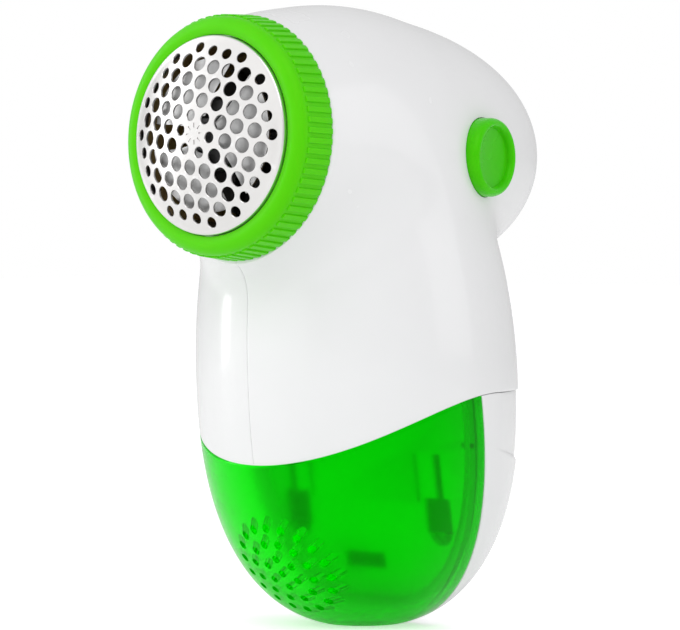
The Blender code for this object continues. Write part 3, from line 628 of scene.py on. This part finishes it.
def makeHousing():
    hole, wide, gap, deep = (housing[key] for key in ("bossHole", "bossWide", "bossGap", "bossDeep"))
    bore, recess, seat = housing["screwHole"], housing["counterbore"], -housing["seatThick"]
    right, left = housingHalf("housingRight", 1), housingHalf("housingLeft", -1)
    pillars, bosses, bores = [], [], []
    for number, spot in enumerate(screwSpots()):
        frame = acrossFrame(spot)
        reach = halfWidth(spot, bodyShape["wall"]) / mm + housing["intoWall"]
        pillars.append(turnedMesh(f"bossRight{number}", ((hole, deep), (hole, gap), (wide, gap),
                                                         (wide, reach), (0, reach), (0, deep)),
                                  glossWhite, frame, 32, closed=True))
        bosses.append(rodMesh(f"bossLeft{number}", housing["seatWide"], -gap, -reach, glossWhite, frame))
        bores.append(turnedMesh(f"recess{number}", ((0, 2), (bore, 2), (bore, seat), (recess, seat),
                                                    (recess, -40), (0, -40)), glossWhite, frame, 48))
    applyBoolean(right, [rodMesh("buttonBore", housing["buttonHole"], 8, -8, glossWhite, buttonAxis, 96)])
    applyBoolean(right, pillars, "UNION")
    applyBoolean(left, bosses, "UNION")
    applyBoolean(left, bores)
    place(right, "housing", "white_gloss_plastic", "housing_right")
    place(left, "housing", "white_gloss_plastic", "housing_left")


screw = {"headThick": 1.9, "core": 0.72, "step": 0.65, "recessDeep": 1.25, "armWide": 0.24, "armEnd": 0.45}


def crossArm(name, size, low, high, frame, turned):
    # one arm of a Phillips recess, narrowing as it goes in
    work = bmesh.new()
    made = bmesh.ops.create_cube(work, size=1.0)["verts"]
    bmesh.ops.scale(work, vec=(size, size * screw["armWide"], high - low), verts=made)
    bmesh.ops.translate(work, vec=(0, 0, (high + low) / 2), verts=made)
    for vert in made:
        vert.co.x *= screw["armEnd"] if vert.co.z < (high + low) / 2 else 1.0
    bmesh.ops.rotate(work, verts=made, matrix=Matrix.Rotation(math.radians(turned), 3, "Z"))
    return finishMesh(name, work, zincSteel, frame)


def makeScrew(name, node, frame, thread, head, body):
    # thread is its radius and the height of its tip, head its radius and the height of its face
    (shank, tip), (wide, face), core = thread, head, thread[0] * screw["core"]
    sign = 1 if tip > face else -1
    neck = face + sign * screw["headThick"]
    profile = [(0, tip), (shank * 0.45, tip - sign * 0.05), (shank * 0.8, tip - sign * 0.9)]
    level = tip - sign * 1.4
    while (level - neck) * sign > 0.5:
        profile += [(shank, level), (core, level - sign * 0.25), (core, level - sign * 0.4)]
        level -= sign * screw["step"]
    profile += [(shank * 0.8, neck), (wide, neck), (wide, face + sign * 0.75),
                (wide * 0.9, face + sign * 0.3), (wide * 0.62, face + sign * 0.04), (0, face)]
    made = turnedMesh(name, profile, zincSteel, frame, 40, sharp=50)
    outward = frame if sign < 0 else frame @ Matrix.Rotation(math.pi, 4, "X")
    top = -face if sign > 0 else face
    applyBoolean(made, [crossArm(f"{name}Arm{turned}", wide * 1.1 * mm, (top - screw["recessDeep"]) * mm,
                                 (top + 0.5) * mm, outward, turned) for turned in (0, 90)])
    place(made, body, "spring_steel", node)


def makeScrews():
    for number, spot in enumerate(screwSpots(), start=1):
        makeScrew(f"housingScrew{number}", f"housing_screw_{number}", acrossFrame(spot),
                  housing["thread"], housing["head"], "housing")


makeHousing()
makeScrews()
print("housing made")


# a rounded rim, and flat ribs round the rear of the side
ring = {"ribs": 74, "ribHigh": 0.36, "ribEnd": 6.9, "side": 24.98, "front": 24.55, "rimStart": 22.0,
        "rimTop": 9.15, "lip": 20.6, "bore": 22.4, "back": 0.12}


def makeRing():
    side, front, end, high = ring["side"], ring["front"], ring["ribEnd"], ring["ribHigh"]
    rim = [(ring["rimStart"] + (front - ring["rimStart"]) * math.sin(t),
            end + 0.1 + (ring["rimTop"] - end - 0.1) * math.cos(t), 0.0)
           for t in np.linspace(0, math.pi / 2, 14)]
    profile = [(ring["lip"], 8.7, 0), (ring["lip"] + 0.08, 8.86, 0), (ring["lip"] + 0.28, 8.95, 0)] + rim
    profile += [(front, end, 0), (front, end - 0.02, high * 0.75), (front + 0.01, end - 0.12, high),
                (front + (side - front) * 0.7, 2.4, high), (side, 0.45, high),
                (side - 0.02, 0.25, high * 0.9), (side - 0.15, ring["back"], high * 0.8),
                (ring["bore"], ring["back"], 0), (ring["bore"], 7.85, 0), (ring["lip"], 7.85, 0)]
    across = ((0.20, 0.0), (0.245, 0.86), (0.285, 1.0), (0.715, 1.0), (0.755, 0.86), (0.80, 0.0))
    work = bmesh.new()
    rows = []
    for radius, height, rib in profile:
        row = []
        for number in range(ring["ribs"]):
            for spot, lift in across:
                angle = math.tau * (number + spot) / ring["ribs"]
                r = (radius + rib * lift) * mm
                row.append(work.verts.new((r * math.cos(angle), r * math.sin(angle), height * mm)))
        rows.append(row)
    joinRows(work, rows + rows[:1], wrap=True)
    place(finishMesh("clampRing", work, ringGreen, headAxis, 30), "ring", "green_satin_plastic",
          "clamp_ring")


# a domed sheet with a hexagonal field of holes
foil = {"top": 14.2, "sag": 4.55, "radius": 20.45, "sheet": 0.45, "pitch": 4.02,
        "turn": math.radians(48.7), "bigHole": 1.55, "smallHole": 1.15, "outerShrink": 0.981,
        "soften": 0.13, "ticks": 8, "tickAway": 1.75, "tickSize": (1.0, 0.3, 0.5), "knee": 0.55,
        "bend": 0.5, "wallLow": 7.5, "flange": 21.9}


def domeHeight(radius):
    return foil["top"] - foil["sag"] * (radius / foil["radius"]) ** 2


def foilHoles():
    # rings of the hexagonal field: small, three rings of large, then small without its corners
    holes = []
    for level in range(1, 6):
        for side in range(6):
            for step in range(level):
                if level == 5 and step == 0:
                    continue
                a = foil["turn"] + side * math.pi / 3
                b = a + math.tau / 3
                x = foil["pitch"] * (level * math.cos(a) + step * math.cos(b))
                y = foil["pitch"] * (level * math.sin(a) + step * math.sin(b))
                size = foil["smallHole"] if level in (1, 5) else foil["bigHole"]
                shrink = foil["outerShrink"] if level == 5 else 1.0
                holes.append((x * shrink, y * shrink, size))
    return holes


def holeCutters():
    work = bmesh.new()
    sides, soften = 20, foil["soften"]
    for x, y, size in foilHoles():
        radius = math.hypot(x, y)
        slope = 2 * foil["sag"] * radius / foil["radius"] ** 2
        tilt = Vector((x / radius * slope, y / radius * slope, 1.0)).to_track_quat("Z", "Y").to_matrix()
        centre = Vector((x, y, domeHeight(radius)))
        rings = []
        for r, height in ((size, -1.5), (size, -0.12), (size + 0.07, -0.03), (size + soften, 0.02),
                          (size + soften, 0.6)):
            rings.append([work.verts.new((centre + tilt @ Vector((r * math.cos(math.tau * k / sides),
                                                                  r * math.sin(math.tau * k / sides),
                                                                  height))) * mm) for k in range(sides)])
        joinTube(work, rings)
    for k in range(foil["ticks"]):
        angle = math.tau * k / foil["ticks"] + foil["turn"]
        made = bmesh.ops.create_cube(work, size=1.0)["verts"]
        bmesh.ops.scale(work, vec=Vector(foil["tickSize"]) * mm, verts=made)
        bmesh.ops.translate(work, vec=(foil["tickAway"] * mm, 0, foil["top"] * mm), verts=made)
        bmesh.ops.rotate(work, verts=made, matrix=Matrix.Rotation(angle, 3, "Z"))
    return finishMesh("foilCutters", work, foilSteel)


def makeFoil():
    # the sheet turns down over a small round to a short wall, then out to the flange under the ring
    sheet, radius, low, flange = foil["sheet"], foil["radius"], foil["wallLow"], foil["flange"]
    edge, bend = radius - foil["knee"], foil["bend"]
    domed = [(r, domeHeight(r)) for r in np.linspace(0, edge, 20)]
    knee = [(edge + 0.05 + bend * math.sin(t), domeHeight(edge) - bend + bend * math.cos(t))
            for t in np.linspace(0.5, math.pi / 2, 5)]
    profile = domed + knee + [(radius, low), (flange, low), (flange, low - sheet),
                              (radius - sheet, low - sheet), (radius - sheet, domeHeight(edge) - bend)]
    profile += [(r, domeHeight(r) - sheet) for r in np.linspace(edge - sheet, 0, 20)]
    sheetMesh = turnedMesh("foilScreen", profile, foilSteel, Matrix.Identity(4), 144)
    applyBoolean(sheetMesh, [holeCutters()], sharp=28)
    sheetMesh.data.transform(headAxis)
    place(sheetMesh, "cap", "foil_steel", "foil")


# the blades behind the foil; sweep and start in degrees
cutter = {"blades": 3, "sweep": 100, "start": 71, "tip": 15.8, "root": 3.8, "height": 8.6, "thick": 0.45,
          "pitch": 0.5, "cone": 2.2, "taper": 0.18}


def makeBlade(number):
    # a stamped wing: thick in the middle, its leading edge ground and lifted
    start, sweep = math.radians(120 * number + cutter["start"]), math.radians(cutter["sweep"])
    layers = []
    for side in (1, -1):
        rows = []
        for share in np.linspace(0, 1, 28):
            row = []
            for reach in np.linspace(0, 1, 12):
                radius = cutter["root"] + (cutter["tip"] - cutter["root"]) * reach
                narrow = cutter["taper"] * (1 - reach) ** 1.5
                angle = start + sweep * (narrow + (1 - 1.6 * narrow) * share)
                lift = cutter["pitch"] * (1 - share) ** 2 * (0.3 + 0.7 * reach)
                lift += cutter["cone"] * (1 - reach)
                half = cutter["thick"] / 2 * min(1.0, 0.25 + 6 * share, 0.45 + 8 * (1 - share))
                row.append((radius * mm * math.cos(angle), radius * mm * math.sin(angle),
                            (cutter["height"] + 0.1 + lift + side * half) * mm))
            rows.append(row)
        layers.append(rows)
    wing = shellMesh(f"bladeWing{number}", layers[0], layers[1], bladeSteel, headAxis)
    place(wing, "rotor", "spring_steel", f"blade_{number}")


hub = {"wide": 7.4, "stem": 4.4, "bore": 1.7, "shaft": 1.3, "foot": -2.4, "cap": 3.3, "slot": 1.5}


def makeHub():
    top, wide, stem, foot = cutter["height"], hub["wide"], hub["stem"], hub["foot"]
    bore, shaft = hub["bore"], hub["shaft"]
    body = turnedMesh("bladeHub", ((bore, top + 0.9), (4.0, top + 0.9), (wide - 0.3, top + 0.3), (wide, top),
                                   (wide, top - 1.7), (wide - 0.2, top - 2.0), (stem + 0.3, top - 3.5),
                                   (stem, top - 3.8), (stem, foot + 0.3), (stem - 0.3, foot), (shaft, foot),
                                   (shaft, 1.4), (bore, 1.6)), blackNylon, headAxis, 96, closed=True)
    place(body, "rotor", "black_plastic", "blade_hub")
    dome = [(2.6 * math.sin(t), top + 2.35 + 0.75 * math.cos(t)) for t in np.linspace(0.2, 1.4, 8)]
    rim = [(hub["cap"], top + 2.35), (hub["cap"], top + 1.95), (1.4, top + 1.95), (1.4, 2.0), (0, 2.0)]
    cap = turnedMesh("bladeCap", [(0, top + 3.1)] + dome + rim, blackNylon, headAxis, 64)
    slot = blockMesh("capSlot", Vector((-hub["slot"], -0.3, top + 2.6)) * mm,
                     Vector((hub["slot"], 0.3, top + 3.6)) * mm, blackNylon, headAxis)
    place(applyBoolean(cap, [slot]), "rotor", "black_plastic", "blade_cap")


fan = {"wide": 16.5, "vanes": 8, "root": 3.0, "reach": 13.0, "curve": 0.35, "half": 0.45, "top": -3.4}


def makeFan():
    # a disc with back-curved vanes
    wide = fan["wide"]
    disc = turnedMesh("fanWheel", ((1.3, -2.8), (3.4, -2.8), (3.6, -3.0), (3.6, -6.4), (wide - 0.2, -6.4),
                                   (wide, -6.6), (wide, -7.4), (wide - 0.2, -7.6), (1.3, -7.6)), blackNylon,
                      headAxis, 96, closed=True)
    vanes = []
    for number in range(fan["vanes"]):
        work = bmesh.new()
        rows = []
        for share in np.linspace(0, 1, 9):
            angle = math.tau * number / fan["vanes"] + 0.1 + fan["curve"] * share ** 1.3
            out = Vector((math.cos(angle), math.sin(angle), 0))
            side = Vector((-out.y, out.x, 0)) * fan["half"]
            centre = out * (fan["root"] + fan["reach"] * share)
            low, high = Vector((0, 0, -7.0)), Vector((0, 0, fan["top"] - 0.6 * share))
            rows.append([work.verts.new((centre + side * aside + level) * mm)
                         for aside, level in ((-1, low), (1, low), (1, high), (-1, high))])
        joinTube(work, rows)
        vanes.append(finishMesh(f"vane{number}", work, blackNylon, headAxis))
    place(applyBoolean(disc, vanes, "UNION"), "rotor", "black_plastic", "fan")


chamber = {"inside": 20.0, "outside": 21.5, "flange": 22.4, "hole": 4.2, "top": 6.6, "low": -12,
           "screwAside": 8, "screwHole": 1.5, "thread": (1.1, -18.0), "head": (2.1, -8.9)}


def makeChamber():
    # a cup round the cutter, with a window through to the duct below
    inside, outside, flange = chamber["inside"], chamber["outside"], chamber["flange"]
    top, low, hole = chamber["top"], chamber["low"], chamber["hole"]
    walls = turnedMesh("cutterChamber", ((outside - 0.2, top), (outside, top - 0.2), (outside, -1),
                                         (flange, -1), (flange, -2.6), (outside, -2.6), (outside, low + 0.4),
                                         (outside - 0.4, low), (hole, low), (hole, low + 1.7),
                                         (inside - 0.6, low + 1.7), (inside, low + 2.3), (inside, top - 0.2),
                                         (inside + 0.2, top)), chamberBrown, headAxis, 120, closed=True)
    tools = [blockMesh("lintWindow", Vector((-10, -24, -11.5)) * mm, Vector((10, -15, -4.5)) * mm,
                       chamberBrown, headAxis)]
    for number, side in enumerate((-1, 1), start=1):
        frame = headAxis @ Matrix.Translation((side * chamber["screwAside"] * mm, 0, 0))
        tools.append(rodMesh(f"screwHole{number}", chamber["screwHole"], 0, -18.5, chamberBrown, frame, 32))
        makeScrew(f"bracketScrew{number}", f"bracket_screw_{number}", frame,
                  chamber["thread"], chamber["head"], "housing")
    place(applyBoolean(walls, tools), "housing", "white_inner_plastic", "cutter_chamber")


makeRing()
makeFoil()
for bladeNumber in range(1, cutter["blades"] + 1):
    makeBlade(bladeNumber)
makeHub()
makeFan()
makeChamber()
print("cutter head made")


button = {"radius": 8.25, "proud": 3.2, "dish": 2.0, "rim": 2.1, "crest": 1.1}


def makeButton():
    # a fat round rim about a bowl-shaped dish
    radius, proud, crest = button["radius"], button["proud"], button["crest"]
    floor, low = radius - button["rim"], proud - button["dish"]
    dish = [(floor * share, low + 0.5 * share ** 2) for share in np.linspace(0, 1, 14)]
    lift, top = low + 0.5, radius - crest
    inner = [(top + (floor + 0.05 - top) * math.cos(t), lift + (proud - lift) * math.sin(t))
             for t in np.linspace(0.08, math.pi / 2, 9)]
    outer = [(top + crest * math.sin(t), proud - 1.7 * crest + 1.7 * crest * math.cos(t))
             for t in np.linspace(0.1, math.pi / 2, 12)]
    profile = dish + inner + outer
    profile += [(radius, -4.3), (9.4, -4.3), (9.5, -4.4), (9.5, -5.3), (3, -5.3), (3, -9.0), (0, -9.0)]
    made = turnedMesh("powerButton", profile, buttonShadedGreen, buttonAxis, 128, sharp=50)
    place(made, "button", "green_satin_plastic", "power_button")


spring = {"radius": 6.2, "wire": 0.25, "low": -9.0, "high": -5.9, "turns": 3, "pressed": 0.55}


def makeSpring():
    # a coil between the guide and the button
    work = bmesh.new()
    rings = []
    for share in np.linspace(0, 1, 36 * spring["turns"] + 1):
        angle = math.tau * spring["turns"] * share
        out = Vector((math.cos(angle), math.sin(angle), 0))
        centre = out * spring["radius"]
        centre.z = spring["low"] + (spring["high"] - spring["low"]) * share
        rings.append([work.verts.new((centre + (out * math.cos(t) + Vector((0, 0, math.sin(t))))
                                      * spring["wire"]) * mm)
                      for t in np.linspace(0, math.tau, 10, endpoint=False)])
    joinTube(work, rings)
    made = place(finishMesh("buttonSpring", work, zincSteel, buttonAxis), "housing", "spring_steel",
                 "button_spring")
    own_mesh(made)


makeButton()
makeSpring()
print("button made")


# the clear bin in front and the white door behind, split by a leaning plane
lowerGrip = {"rows": 56, "columns": 84, "split": 0.07 * mm, "edgeRound": 0.25 * mm,
             "railWide": 3.4 * mm, "railThick": 1.5 * mm,
             "ventCentre": Vector((0, -25.2, 12.4)) * mm, "ventRadius": 0.9 * mm, "ventBall": 36 * mm,
             "ventRings": ((0, 1), (3.8, 6), (7.5, 12), (11.2, 18)), "recess": 0.5 * mm,
             "recessStart": 3.0 * mm, "recessSoft": 9.0 * mm, "recessLow": 31.6 * mm,
             "recessRise": 7.0 * mm}


def splitY(z):
    return splitPlane["y"] - (z - splitPlane["z"]) * math.tan(splitPlane["lean"])


def gripSkin(side, offsets, levels, depthAt, floorAt, cleft=None):
    # rows from the S-curve to the floor; the first columns run beside the split plane at the given
    # offsets from it, the rest fan out from the last of them, and the other side mirrors them
    turn = np.linspace(0, math.pi, lowerGrip["columns"] + 2)[1:-1]
    offset = np.concatenate([offsets, np.full(len(turn), offsets[-1]), offsets[::-1]])
    angle = np.concatenate([np.zeros(len(offsets)), turn, np.full(len(offsets), math.pi)])
    lift = bodyShape["seamGap"]
    rows = []
    for k, (section, share) in enumerate(levels):
        def height(y):
            top, low = seamHeight(y) - lift, floorAt(offset)
            if cleft is None:
                return top * (1 - share) + low * share
            middle = cleft(angle)
            return np.where(section == 0, top * (1 - share) + middle * share,
                            middle * (1 - share) + low * share)

        start = np.full(len(offset), splitY(30 * mm))
        for _ in range(12):
            start = splitY(height(start + side * offset)) if cleft is None else splitY(height(start))
        startRow = start + side * offset

        def where(r):
            y = startRow + side * r * np.sin(angle)
            return r * np.cos(angle), y, height(y)

        rows.append(surfaceRow(where, depthAt(k, offset, where), len(offset), far=45 * mm))
    return rows


def sharesDown(first, start, count):
    # shares from a rim down: the first as given, the others closer together towards the base
    spread = np.linspace(0, 1, count)
    return np.concatenate([first, start + (1 - start) * (1 - (1 - spread) ** 1.8)])


def gripHalf(name, material, side, close, levels, sinkAt, railThick=0.0, cleft=None):
    # a shell on one side of the split; its first columns run close to it, at offsets in millimetres
    offsets = lowerGrip["split"] + np.array(close) * mm

    def rail(offset):
        return railThick * (offset < lowerGrip["railWide"] - 0.1 * mm)

    def outerDepth(k, offset, where):
        near = np.select([offset < offsets[1] - 1e-7, offset < offsets[2] - 1e-7], [0.9, 0.3], 0.0)
        return lowerGrip["edgeRound"] * np.maximum(near, rimShares.get(k, 0)) + sinkAt(k, offset, where)

    def innerDepth(k, offset, where):
        return bodyShape["bowlWall"] + rail(offset)

    def innerFloor(offset):
        return bodyShape["bowlFloor"] + rail(offset)

    outer = gripSkin(side, offsets, levels, outerDepth, np.zeros_like, cleft)
    inner = gripSkin(side, offsets, levels, innerDepth, innerFloor, cleft)
    return shellMesh(name, outer, inner, material, capped=True, sharp=32)


def ventCutters():
    # round holes square to the surface, in rings on the front of the bin
    centre, ball, radius = (lowerGrip[key] for key in ("ventCentre", "ventBall", "ventRadius"))

    def gapAt(spot):
        return float(bodyGap(*(np.array([value]) for value in spot))[0])

    start = np.array(centre)
    slope = [gapAt(start + step) - gapAt(start) for step in np.eye(3) * 0.1 * mm]
    frame = Matrix.Translation(centre) @ Vector(slope).to_track_quat("Z", "Y").to_matrix().to_4x4()
    work = bmesh.new()
    for reach, count in lowerGrip["ventRings"]:
        for number in range(count):
            angle = math.tau * (number + 0.5) / count
            made = bmesh.ops.create_cone(work, cap_ends=True, segments=20, depth=14 * mm,
                                         radius1=radius, radius2=radius)["verts"]
            bmesh.ops.rotate(work, verts=made, matrix=Matrix.Rotation(-reach * mm / ball, 3, "Y"))
            bmesh.ops.translate(work, verts=made, vec=(reach * mm, 0, -(reach * mm) ** 2 / 2 / ball))
            bmesh.ops.rotate(work, verts=made, matrix=Matrix.Rotation(angle, 3, "Z"))
    return finishMesh("ventCutters", work, clearGreen, frame)


def makeBin():
    lintBin = gripHalf("lintBin", clearGreen, -1, [0, 0.1, 0.3, 1.0, 1.9, 2.7, 3.2, 3.4],
                       [(1, share) for share in sharesDown([0, 0.003, 0.008], 0.018, lowerGrip["rows"])],
                       lambda k, offset, where: 0.0, lowerGrip["railThick"])
    applyBoolean(lintBin, [ventCutters()], sharp=32)
    place(lintBin, "bin", "clear_green_plastic", "lint_bin")


def recessEdge(angle):
    # height of the thumb recess's lower edge, by the angle round from the side
    return lowerGrip["recessLow"] + lowerGrip["recessRise"] * (1 - np.sin(angle)) ** 0.8


def makeDoor():
    # its upper levels run down to the recess's lower edge, where the surface steps back out
    upper = np.concatenate([[0, 0.006, 0.016, 0.04], np.linspace(0.08, 0.955, 20), [0.972, 0.985, 1.0]])
    lower = sharesDown([0.005, 0.012, 0.024], 0.045, 40)
    levels = [(0, share) for share in upper] + [(1, share) for share in lower]
    stepShares = dict(enumerate((0.97, 0.75, 0.28, 0.04), start=len(upper) - 2))

    def recessDepth(k, offset, where):
        y = where(np.full(len(offset), 30 * mm))[1]
        soft = np.clip((y - lowerGrip["recessStart"]) / lowerGrip["recessSoft"], 0, 1)
        share = 1.0 if k < len(upper) - 2 else stepShares.get(k, 0.0)
        return lowerGrip["recess"] * soft ** 2 * (3 - 2 * soft) * share

    door = gripHalf("batteryDoor", glossWhite, 1, [0, 0.1, 0.3, 0.8], levels, recessDepth, cleft=recessEdge)
    place(door, "door", "white_gloss_plastic", "battery_door")


# the plate that the bin and the door snap onto; recesses by their distances aside and their heights,
# floors by their depths in the plate, in millimetres; each recess floor is a dark grey pad of painted shade
chassis = {"front": 0.4, "back": 2.0, "sink": 2.4 * mm, "floor": (1.2, 1.9), "floorInset": 0.06,
           "recesses": (("slitThin", 12.9, 13.7, 26, 36.4), ("slitThick", 18.0, 20.0, 26.5, 36.4),
                        ("shield", 14.7, 21.5, 19.5, 27), ("slot", 26.2, 28.9, 38, 39.2)),
           "leftFurther": 3.0, "catch": (-8.8, 2.2, 10.9, 14.3), "toe": (18.2, 19.5, 3.0)}


def plateFrame():
    return (Matrix.Translation((0, splitPlane["y"], splitPlane["z"]))
            @ Matrix.Rotation(splitPlane["lean"], 4, "X"))


def plateBlock(name, xLow, xHigh, zLow, zHigh, yLow=-1.5, yHigh=3.5):
    # a block on the plate, its heights given on the object and turned into the plate's own
    def along(z):
        return (z * mm - splitPlane["z"]) / math.cos(splitPlane["lean"])
    return blockMesh(name, (xLow * mm, yLow * mm, along(zLow)), (xHigh * mm, yHigh * mm, along(zHigh)),
                     innerWhite, plateFrame())


def makeChassis():
    core = sunkenCore("chassisCore", np.linspace(67 * mm, 5 * mm, 48), chassis["sink"], splitY, 120)
    plate = blockMesh("chassisPlate", Vector((-40, chassis["front"], -50)) * mm,
                      Vector((40, chassis["back"], 19)) * mm, innerWhite, plateFrame())
    applyBoolean(plate, [core], "INTERSECT")
    cuts, shadePads, inset = [], [], chassis["floorInset"]

    def recess(name, a, b, low, high):
        cuts.append(plateBlock(name, a, b, low, high))
        shadePads.append(plateBlock(f"{name}Floor", a + inset, b - inset, low + inset, high - inset,
                                 *chassis["floor"]))

    toeAside, toeHeight, toeRadius = chassis["toe"]
    for side in (-1, 1):
        aside = 0.0 if side > 0 else chassis["leftFurther"]
        for name, a, b, low, high in chassis["recesses"]:
            recess(f"{name}{side}", *sorted((side * (a + aside), side * (b + aside))), low, high)
        spot = Vector((side * (toeAside + aside), 0, toeHeight - splitPlane["z"] / mm)) * mm
        cuts.append(rodMesh(f"toe{side}", toeRadius, 4, -4, innerWhite, plateFrame()
                            @ Matrix.Translation(spot) @ Matrix.Rotation(math.radians(90), 4, "X"), 32))
    recess("catchSlot", *chassis["catch"])
    applyBoolean(plate, cuts)
    # the recess floors are pads of painted shade, dark grey where the recesses hold only shade
    paintedShadePads = applyBoolean(shadePads[0], shadePads[1:], "UNION")
    paintedShadePads.name = "recessShadePads"
    paintedShadePads.data.materials.clear()
    paintedShadePads.data.materials.append(paintedShadeGrey)
    place(paintedShadePads, "housing", "black_plastic")
    place(plate, "housing", "white_inner_plastic", "chassis")


makeBin()
makeDoor()
makeChassis()
print("lower grip made")


cell = {"radius": 7.25, "length": 50.5, "nub": 2.7}


def makeCells():
    for number in (1, 2):
        low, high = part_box(f"battery_cell_{number}")
        centre = (low + high) / 2
        upright = centre.x > 0
        frame = Matrix.Translation((centre.x, centre.y, low.z if upright else high.z))
        if not upright:
            frame = frame @ Matrix.Rotation(math.pi, 4, "X")
        r, top = cell["radius"], cell["length"]
        profile = [(0, top), (cell["nub"] - 0.2, top), (cell["nub"], top - 0.2), (cell["nub"], top - 1.1),
                   (r - 1.5, top - 1.1), (r - 1.2, top - 0.75), (r - 0.5, top - 0.75), (r - 0.1, top - 1.0),
                   (r, top - 1.4), (r, 0.6), (r - 0.2, 0.2), (r - 0.7, 0.05), (r - 1.3, 0.3), (r - 1.5, 0.1),
                   (0, 0)]
        made = turnedMesh(f"batteryCell{number}", profile, sleeve, frame, 80)
        made.data.materials.append(zincSteel)
        for face in made.data.polygons:  # the bare metal ends
            centreHere = frame.inverted() @ face.center
            ends = centreHere.z > (top - 1.12) * mm or centreHere.z < 0.35 * mm
            face.material_index = int(ends and math.hypot(centreHere.x, centreHere.y) < (r - 1.15) * mm)
        place(made, "housing", "cell_wrap", f"battery_cell_{number}")


tray = {"roomLow": Vector((-15.5, 7.7, 13.6)) * mm, "roomHigh": Vector((15.5, 30, 72)) * mm,
        "sink": 2.6 * mm, "axisY": 2 * mm, "edge": 0.25 * mm}


def makeTray():
    # an open tray whose outside follows the inside of the grip
    body = blockMesh("batteryTray", *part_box("battery_tray"), innerWhite)
    core = sunkenCore("trayCore", np.linspace(74 * mm, 8 * mm, 24), tray["sink"],
                      lambda z: tray["axisY"], 96)
    applyBoolean(body, [blockMesh("trayRoom", tray["roomLow"], tray["roomHigh"], innerWhite)])
    applyBoolean(body, [core], "INTERSECT")
    soft = body.modifiers.new("softEdge", "BEVEL")
    soft.width, soft.segments, soft.harden_normals = tray["edge"], 2, False
    soft.limit_method, soft.angle_limit = "ANGLE", math.radians(35)
    bakeModifiers(body)
    place(body, "housing", "white_inner_plastic", "battery_tray")


makeCells()
makeTray()
print("cells made")


# inner pieces kept from the frame take their finishes
keptFinishes = (
    (zincSteel, ("motor_can", "motor_shaft", "contact_spring_1", "contact_spring_2")),
    (contactBrass, ("contact_plate_1", "contact_plate_2", "cell_link", "motor_terminal_1",
                    "motor_terminal_2")),
    (blackNylon, ("motor_end_cap", "switch_body")),
    (innerWhite, ("button_guide", "lint_duct", "motor_bracket")),
    (buttonShadedGreen, ("switch_plunger",)),
    (redSleeve, ("wire_red", "wire_link")),
    (blackSleeve, ("wire_black",)))

for finish, nodes in keptFinishes:
    for node in nodes:
        kept = frame["nodes"][node]
        kept.data.materials.clear()
        kept.data.materials.append(finish)
print("kept pieces finished")


# angles in degrees; each lamp by its azimuth, elevation, distance, width, height and power
studio = {"floor": (0.93, 0.93, 0.93), "floorSpeck": (0.91605, 0.91605, 0.91605), "speckScale": 30.0,
          "floorGlow": 0.5, "floorBounce": 0.12, "backdrop": 1.0, "fill": 0.635, "azimuth": 40.9,
          "elevation": 1.5, "distance": 0.9, "aim": Vector((0, -7.4, 65.55)) * mm, "lens": 225.8,
          "sensor": 36.0, "clip": 0.01,
          "lamps": ((-28, 10, 0.9, 1.35, 1.75, 3.9), (-64, 2, 0.9, 0.16, 1.1, 1.6),
                    (118, 20, 0.9, 0.5, 0.65, 0.7), (35, 48, 1.0, 0.6, 0.8, 2.9))}


def lookFrom(azimuth, elevation, distance, target):
    # a frame at that bearing round the object whose -Z axis looks at the target
    a, e = math.radians(azimuth), math.radians(elevation)
    back = Vector((math.sin(a) * math.cos(e), -math.cos(a) * math.cos(e), math.sin(e)))
    return Matrix.Translation(target + back * distance) @ back.to_track_quat("Z", "Y").to_matrix().to_4x4()


def makeFloor():
    # a wide flat floor, glowing a little where the camera sees it
    work = bmesh.new()
    bmesh.ops.create_grid(work, x_segments=1, y_segments=1, size=3.0)
    made, tree, shader = startMaterial("studioFloor")
    speck = noise(tree, objectPlace(tree), studio["speckScale"])
    seen = addNode(tree, "ShaderNodeLightPath").outputs["Is Camera Ray"]
    bounce, glow = ((studio[key],) * 3 for key in ("floorBounce", "floorGlow"))
    feed(tree, shader.inputs, {"Base Color": mixColour(tree, speck, studio["floor"], studio["floorSpeck"]),
                               "Emission Color": mixColour(tree, seen, bounce, glow),
                               "Emission Strength": 1.0, "Roughness": 0.6})
    floor = finishMesh("studioFloor", work, made)
    floor.location.z = -0.02 * mm


def makeLights():
    # a plain world that the camera sees brighter than the object does, and softboxes round it
    world = bpy.data.worlds.new("studioWorld")
    bpy.context.scene.world = world
    world.use_nodes = True
    tree = world.node_tree
    seen = addNode(tree, "ShaderNodeLightPath").outputs["Is Camera Ray"]
    strength = mapRange(tree, seen, 0.0, 1.0, studio["fill"], studio["backdrop"])
    feed(tree, tree.nodes["Background"].inputs, {"Strength": strength, "Color": (1.0, 1.0, 1.0, 1.0)})
    for number, (azimuth, elevation, distance, wide, high, power) in enumerate(studio["lamps"]):
        lamp = bpy.data.lights.new(f"softbox{number}", "AREA")
        lamp.shape = "RECTANGLE"
        lamp.size, lamp.size_y = wide, high
        lamp.energy = power
        box = bpy.data.objects.new(f"softbox{number}", lamp)
        bpy.context.scene.collection.objects.link(box)
        box.matrix_world = lookFrom(azimuth, elevation, distance, studio["aim"])


def makeCamera():
    camera = bpy.data.objects.new("studioCamera", bpy.data.cameras.new("studioCamera"))
    bpy.context.scene.collection.objects.link(camera)
    camera.data.lens = studio["lens"]
    camera.data.sensor_width = studio["sensor"]
    camera.data.clip_start = studio["clip"]
    camera.matrix_world = lookFrom(studio["azimuth"], studio["elevation"], studio["distance"], studio["aim"])
    bpy.context.scene.camera = camera


makeFloor()
makeLights()
makeCamera()
bpy.context.scene.view_settings.view_transform = "Standard"
print("studio made")

bpy.context.view_layer.update()
